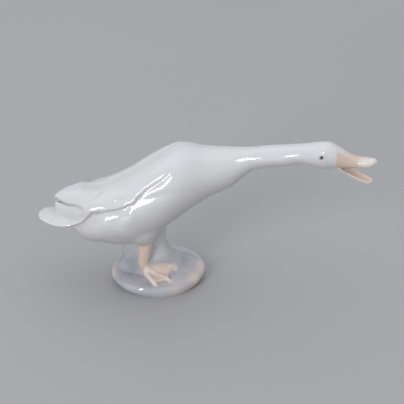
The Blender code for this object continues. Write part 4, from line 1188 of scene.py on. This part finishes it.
def body_colour(brush, clouds):
    """White clay, with painted shade: greyer where it faces down and in the hollows."""
    body = brush.coat(WHITE, WHITE_SHADE, brush.times(brush.remap(clouds, 0.40, 0.72), 0.35))
    # Painted shade where the skin faces down.
    body = brush.tint(body, WARM_SHADE, "shade", 0.8)
    # Painted shade in the hollows.
    body = brush.tint(body, WHITE_SHADE, "crease_shade", 0.75)
    return brush.tint(body, PINK, "cheek", 0.45)


def mound_colour(brush, clouds, wisps):
    """Blue-grey and lavender washes of stand and mound, with peach patches, painted shade in the folds and
    hollows, painted light on the ridges, and pale patches that are partly a painted highlight.
    """
    mound = brush.coat(SLATE, PALE_SLATE, brush.remap(clouds, 0.38, 0.62))
    mound = brush.coat(mound, LAVENDER, brush.remap(brush.noise(*DRIFTS), 0.45, 0.66))
    mound = brush.tint(mound, LAVENDER, "violet", 0.8)
    mound = brush.tint(mound, DEEP_SLATE, "wash", 0.6)
    # Painted shade in the folds and hollows, and painted light on the ridges.
    mound = brush.tint(mound, DEEP_SLATE, "crease_shade", 0.35)
    mound = brush.tint(mound, PALE_SLATE, "ridge", 0.55)
    # Pale patches: partly the stand's paler glaze, partly a painted highlight beside the leg.
    mound = brush.tint(mound, WHITE_SHADE, "pale", 0.9)
    mound = brush.tint(mound, WHITE_SHADE, "rim", brush.remap(wisps, 0.3, 0.7, 0.05, 0.35))
    return brush.tint(mound, PEACH, "blush", brush.remap(wisps, 0.35, 0.6, 0.45, 0.95))


def foot_colour(brush, wisps):
    """Peach of legs and feet, paler on the toes, with painted shade in the hollows."""
    foot = brush.coat(PEACH, DEEP_PEACH, brush.remap(wisps, 0.42, 0.68, 0.0, 0.55))
    foot = brush.tint(foot, PALE_PEACH, "toe", 0.85)
    # Painted shade in the hollows.
    return brush.tint(foot, DEEP_PEACH, "crease_shade", 0.5)


def bill_colour(brush, wisps):
    """Peach of the beak, paler to its tip and inside the mouth, with painted shade on its lower part and
    painted light on its ridges.
    """
    # Painted shade on the lower part of the upper bill.
    bill = brush.tint(BILL_PEACH, BILL_SHADE, "bill_low", 0.75)
    bill = brush.coat(bill, BILL_PALE, brush.layer("bill_tip"))
    # Painted light on the beak's ridges.
    bill = brush.tint(bill, BILL_PALE, "ridge", 0.6)
    bill = brush.coat(bill, BILL_PEACH, brush.times(brush.remap(wisps, 0.45, 0.65), 0.3))
    bill = brush.tint(bill, BILL_END, "bill_end", 0.6)
    bill = brush.tint(bill, BILL_PALE, "jaw_wall", 0.8)
    return brush.tint(bill, MOUTH, "mouth", 0.75)


def eye_colour(brush, under):
    """Dark pupil in a soft grey ring, on each side of the head."""
    for side in (-1, 1):
        centre = eye_centre(side) + Vector((0, side * EYE_DIAMETER * 0.4, 0))
        lash = brush.times(brush.near(centre, PUPIL_DIAMETER / 2, LASH_DIAMETER / 2), 0.7)
        pupil = brush.near(centre, *(PUPIL_DIAMETER * share for share in PUPIL_EDGE))
        under = brush.coat(brush.coat(under, LASH, lash), PUPIL, pupil)
    return under


def porcelain_paint():
    """Underglaze colour on white clay, with painted shade, shadow and light, and the clear glaze over it."""
    brush = Brush("glazed_porcelain")
    clouds = brush.noise(*CLOUDS)
    wisps = brush.noise(*WISPS)
    specks = brush.noise(*SPECKS)
    bare = brush.layer("bare")
    colour = brush.coat(body_colour(brush, clouds), mound_colour(brush, clouds, wisps), brush.layer("mound"))
    colour = brush.tint(colour, foot_colour(brush, wisps), "foot", 0.92)
    colour = brush.coat(colour, bill_colour(brush, wisps), brush.layer("bill"))
    # Painted shadow in the gaps under the wing tips.
    colour = brush.tint(eye_colour(brush, colour), GAP_SHADOW, "gap", 0.85)
    colour = brush.coat(colour, LASH, brush.times(brush.remap(specks, 0.74, 0.80), 0.16))
    colour = brush.coat(colour, BARE_CLAY, bare)
    gloss = brush.remap(brush.noise(*SHEEN), 0.3, 0.7, *GLOSS)
    matt = brush.node("ShaderNodeMix", {"Factor": bare, "A": gloss, "B": MATT}, data_type="FLOAT")
    relief = brush.noise(*RIPPLES)
    bump = {"Strength": RIPPLE_STRENGTH, "Distance": RIPPLE_DEPTH, "Height": relief}
    ripple = brush.node("ShaderNodeBump", bump)
    return brush.shade({
        "Base Color": colour,
        "Roughness": matt.outputs["Result"],
        "Normal": ripple.outputs["Normal"],
        "IOR": 1.52,
        "Coat Weight": 0.5,
        "Coat Roughness": 0.06,
        "Subsurface Weight": 0.12,
        "Subsurface Radius": (1.0, 0.9, 0.8),
        "Subsurface Scale": 0.0015,
    })


def floor_paint():
    """Pale matt floor with a faint mottle."""
    brush = Brush("pale_floor")
    mottle = brush.coat(FLOOR_PALE, FLOOR_GREY, brush.noise(3.0))
    return brush.shade({"Base Color": mottle, "Roughness": 0.45})


def floor():
    """Large level floor under the goose."""
    bpy.ops.mesh.primitive_plane_add(size=FLOOR_SIZE, location=(0, 0, -FLOOR_GAP))
    thing = bpy.context.active_object
    thing.name = "floor"
    thing.data.materials.append(floor_paint())


def soft_light(name, place, size, watts):
    """Rectangular soft light at a place, which faces the goose."""
    data = bpy.data.lights.new(name, "AREA")
    data.shape = "RECTANGLE"
    data.size, data.size_y = size
    data.energy = watts
    lamp = linked(name, data)
    lamp.location = place
    lamp.rotation_euler = (Vector(GOOSE_MIDDLE) - Vector(place)).to_track_quat("-Z", "Y").to_euler()


def studio():
    """Soft light from above, a window-like light in front and an even pale surround."""
    soft_light("top_box", *TOP_BOX)
    soft_light("left_strip", *LEFT_STRIP)
    world = bpy.data.worlds.new("surround")
    world.use_nodes = True
    background = world.node_tree.nodes["Background"].inputs
    background["Color"].default_value = SURROUND
    background["Strength"].default_value = SURROUND_STRENGTH
    bpy.context.scene.world = world


def camera():
    """Camera at the photograph's height and distance, looking down on the goose."""
    data = bpy.data.cameras.new("camera")
    data.sensor_width = SENSOR
    data.lens = CAMERA_LENS
    view = linked("camera", data)
    view.location = CAMERA_PLACE
    view.rotation_euler = (math.radians(90) - CAMERA_PITCH, 0, 0)
    bpy.context.scene.camera = view
    bpy.context.scene.view_settings.view_transform = "Standard"


goose = fuse(forms(), "glazed_goose")
refine(goose)
cut_flat(goose)
pierce_vent(goose)
keep_inside(goose, cad_box)
paint_layers(goose)
goose.data.materials.clear()
goose.data.materials.append(porcelain_paint())
goose.data.shade_smooth()
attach(goose, "root")
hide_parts("goose_figurine")
floor()
studio()
camera()
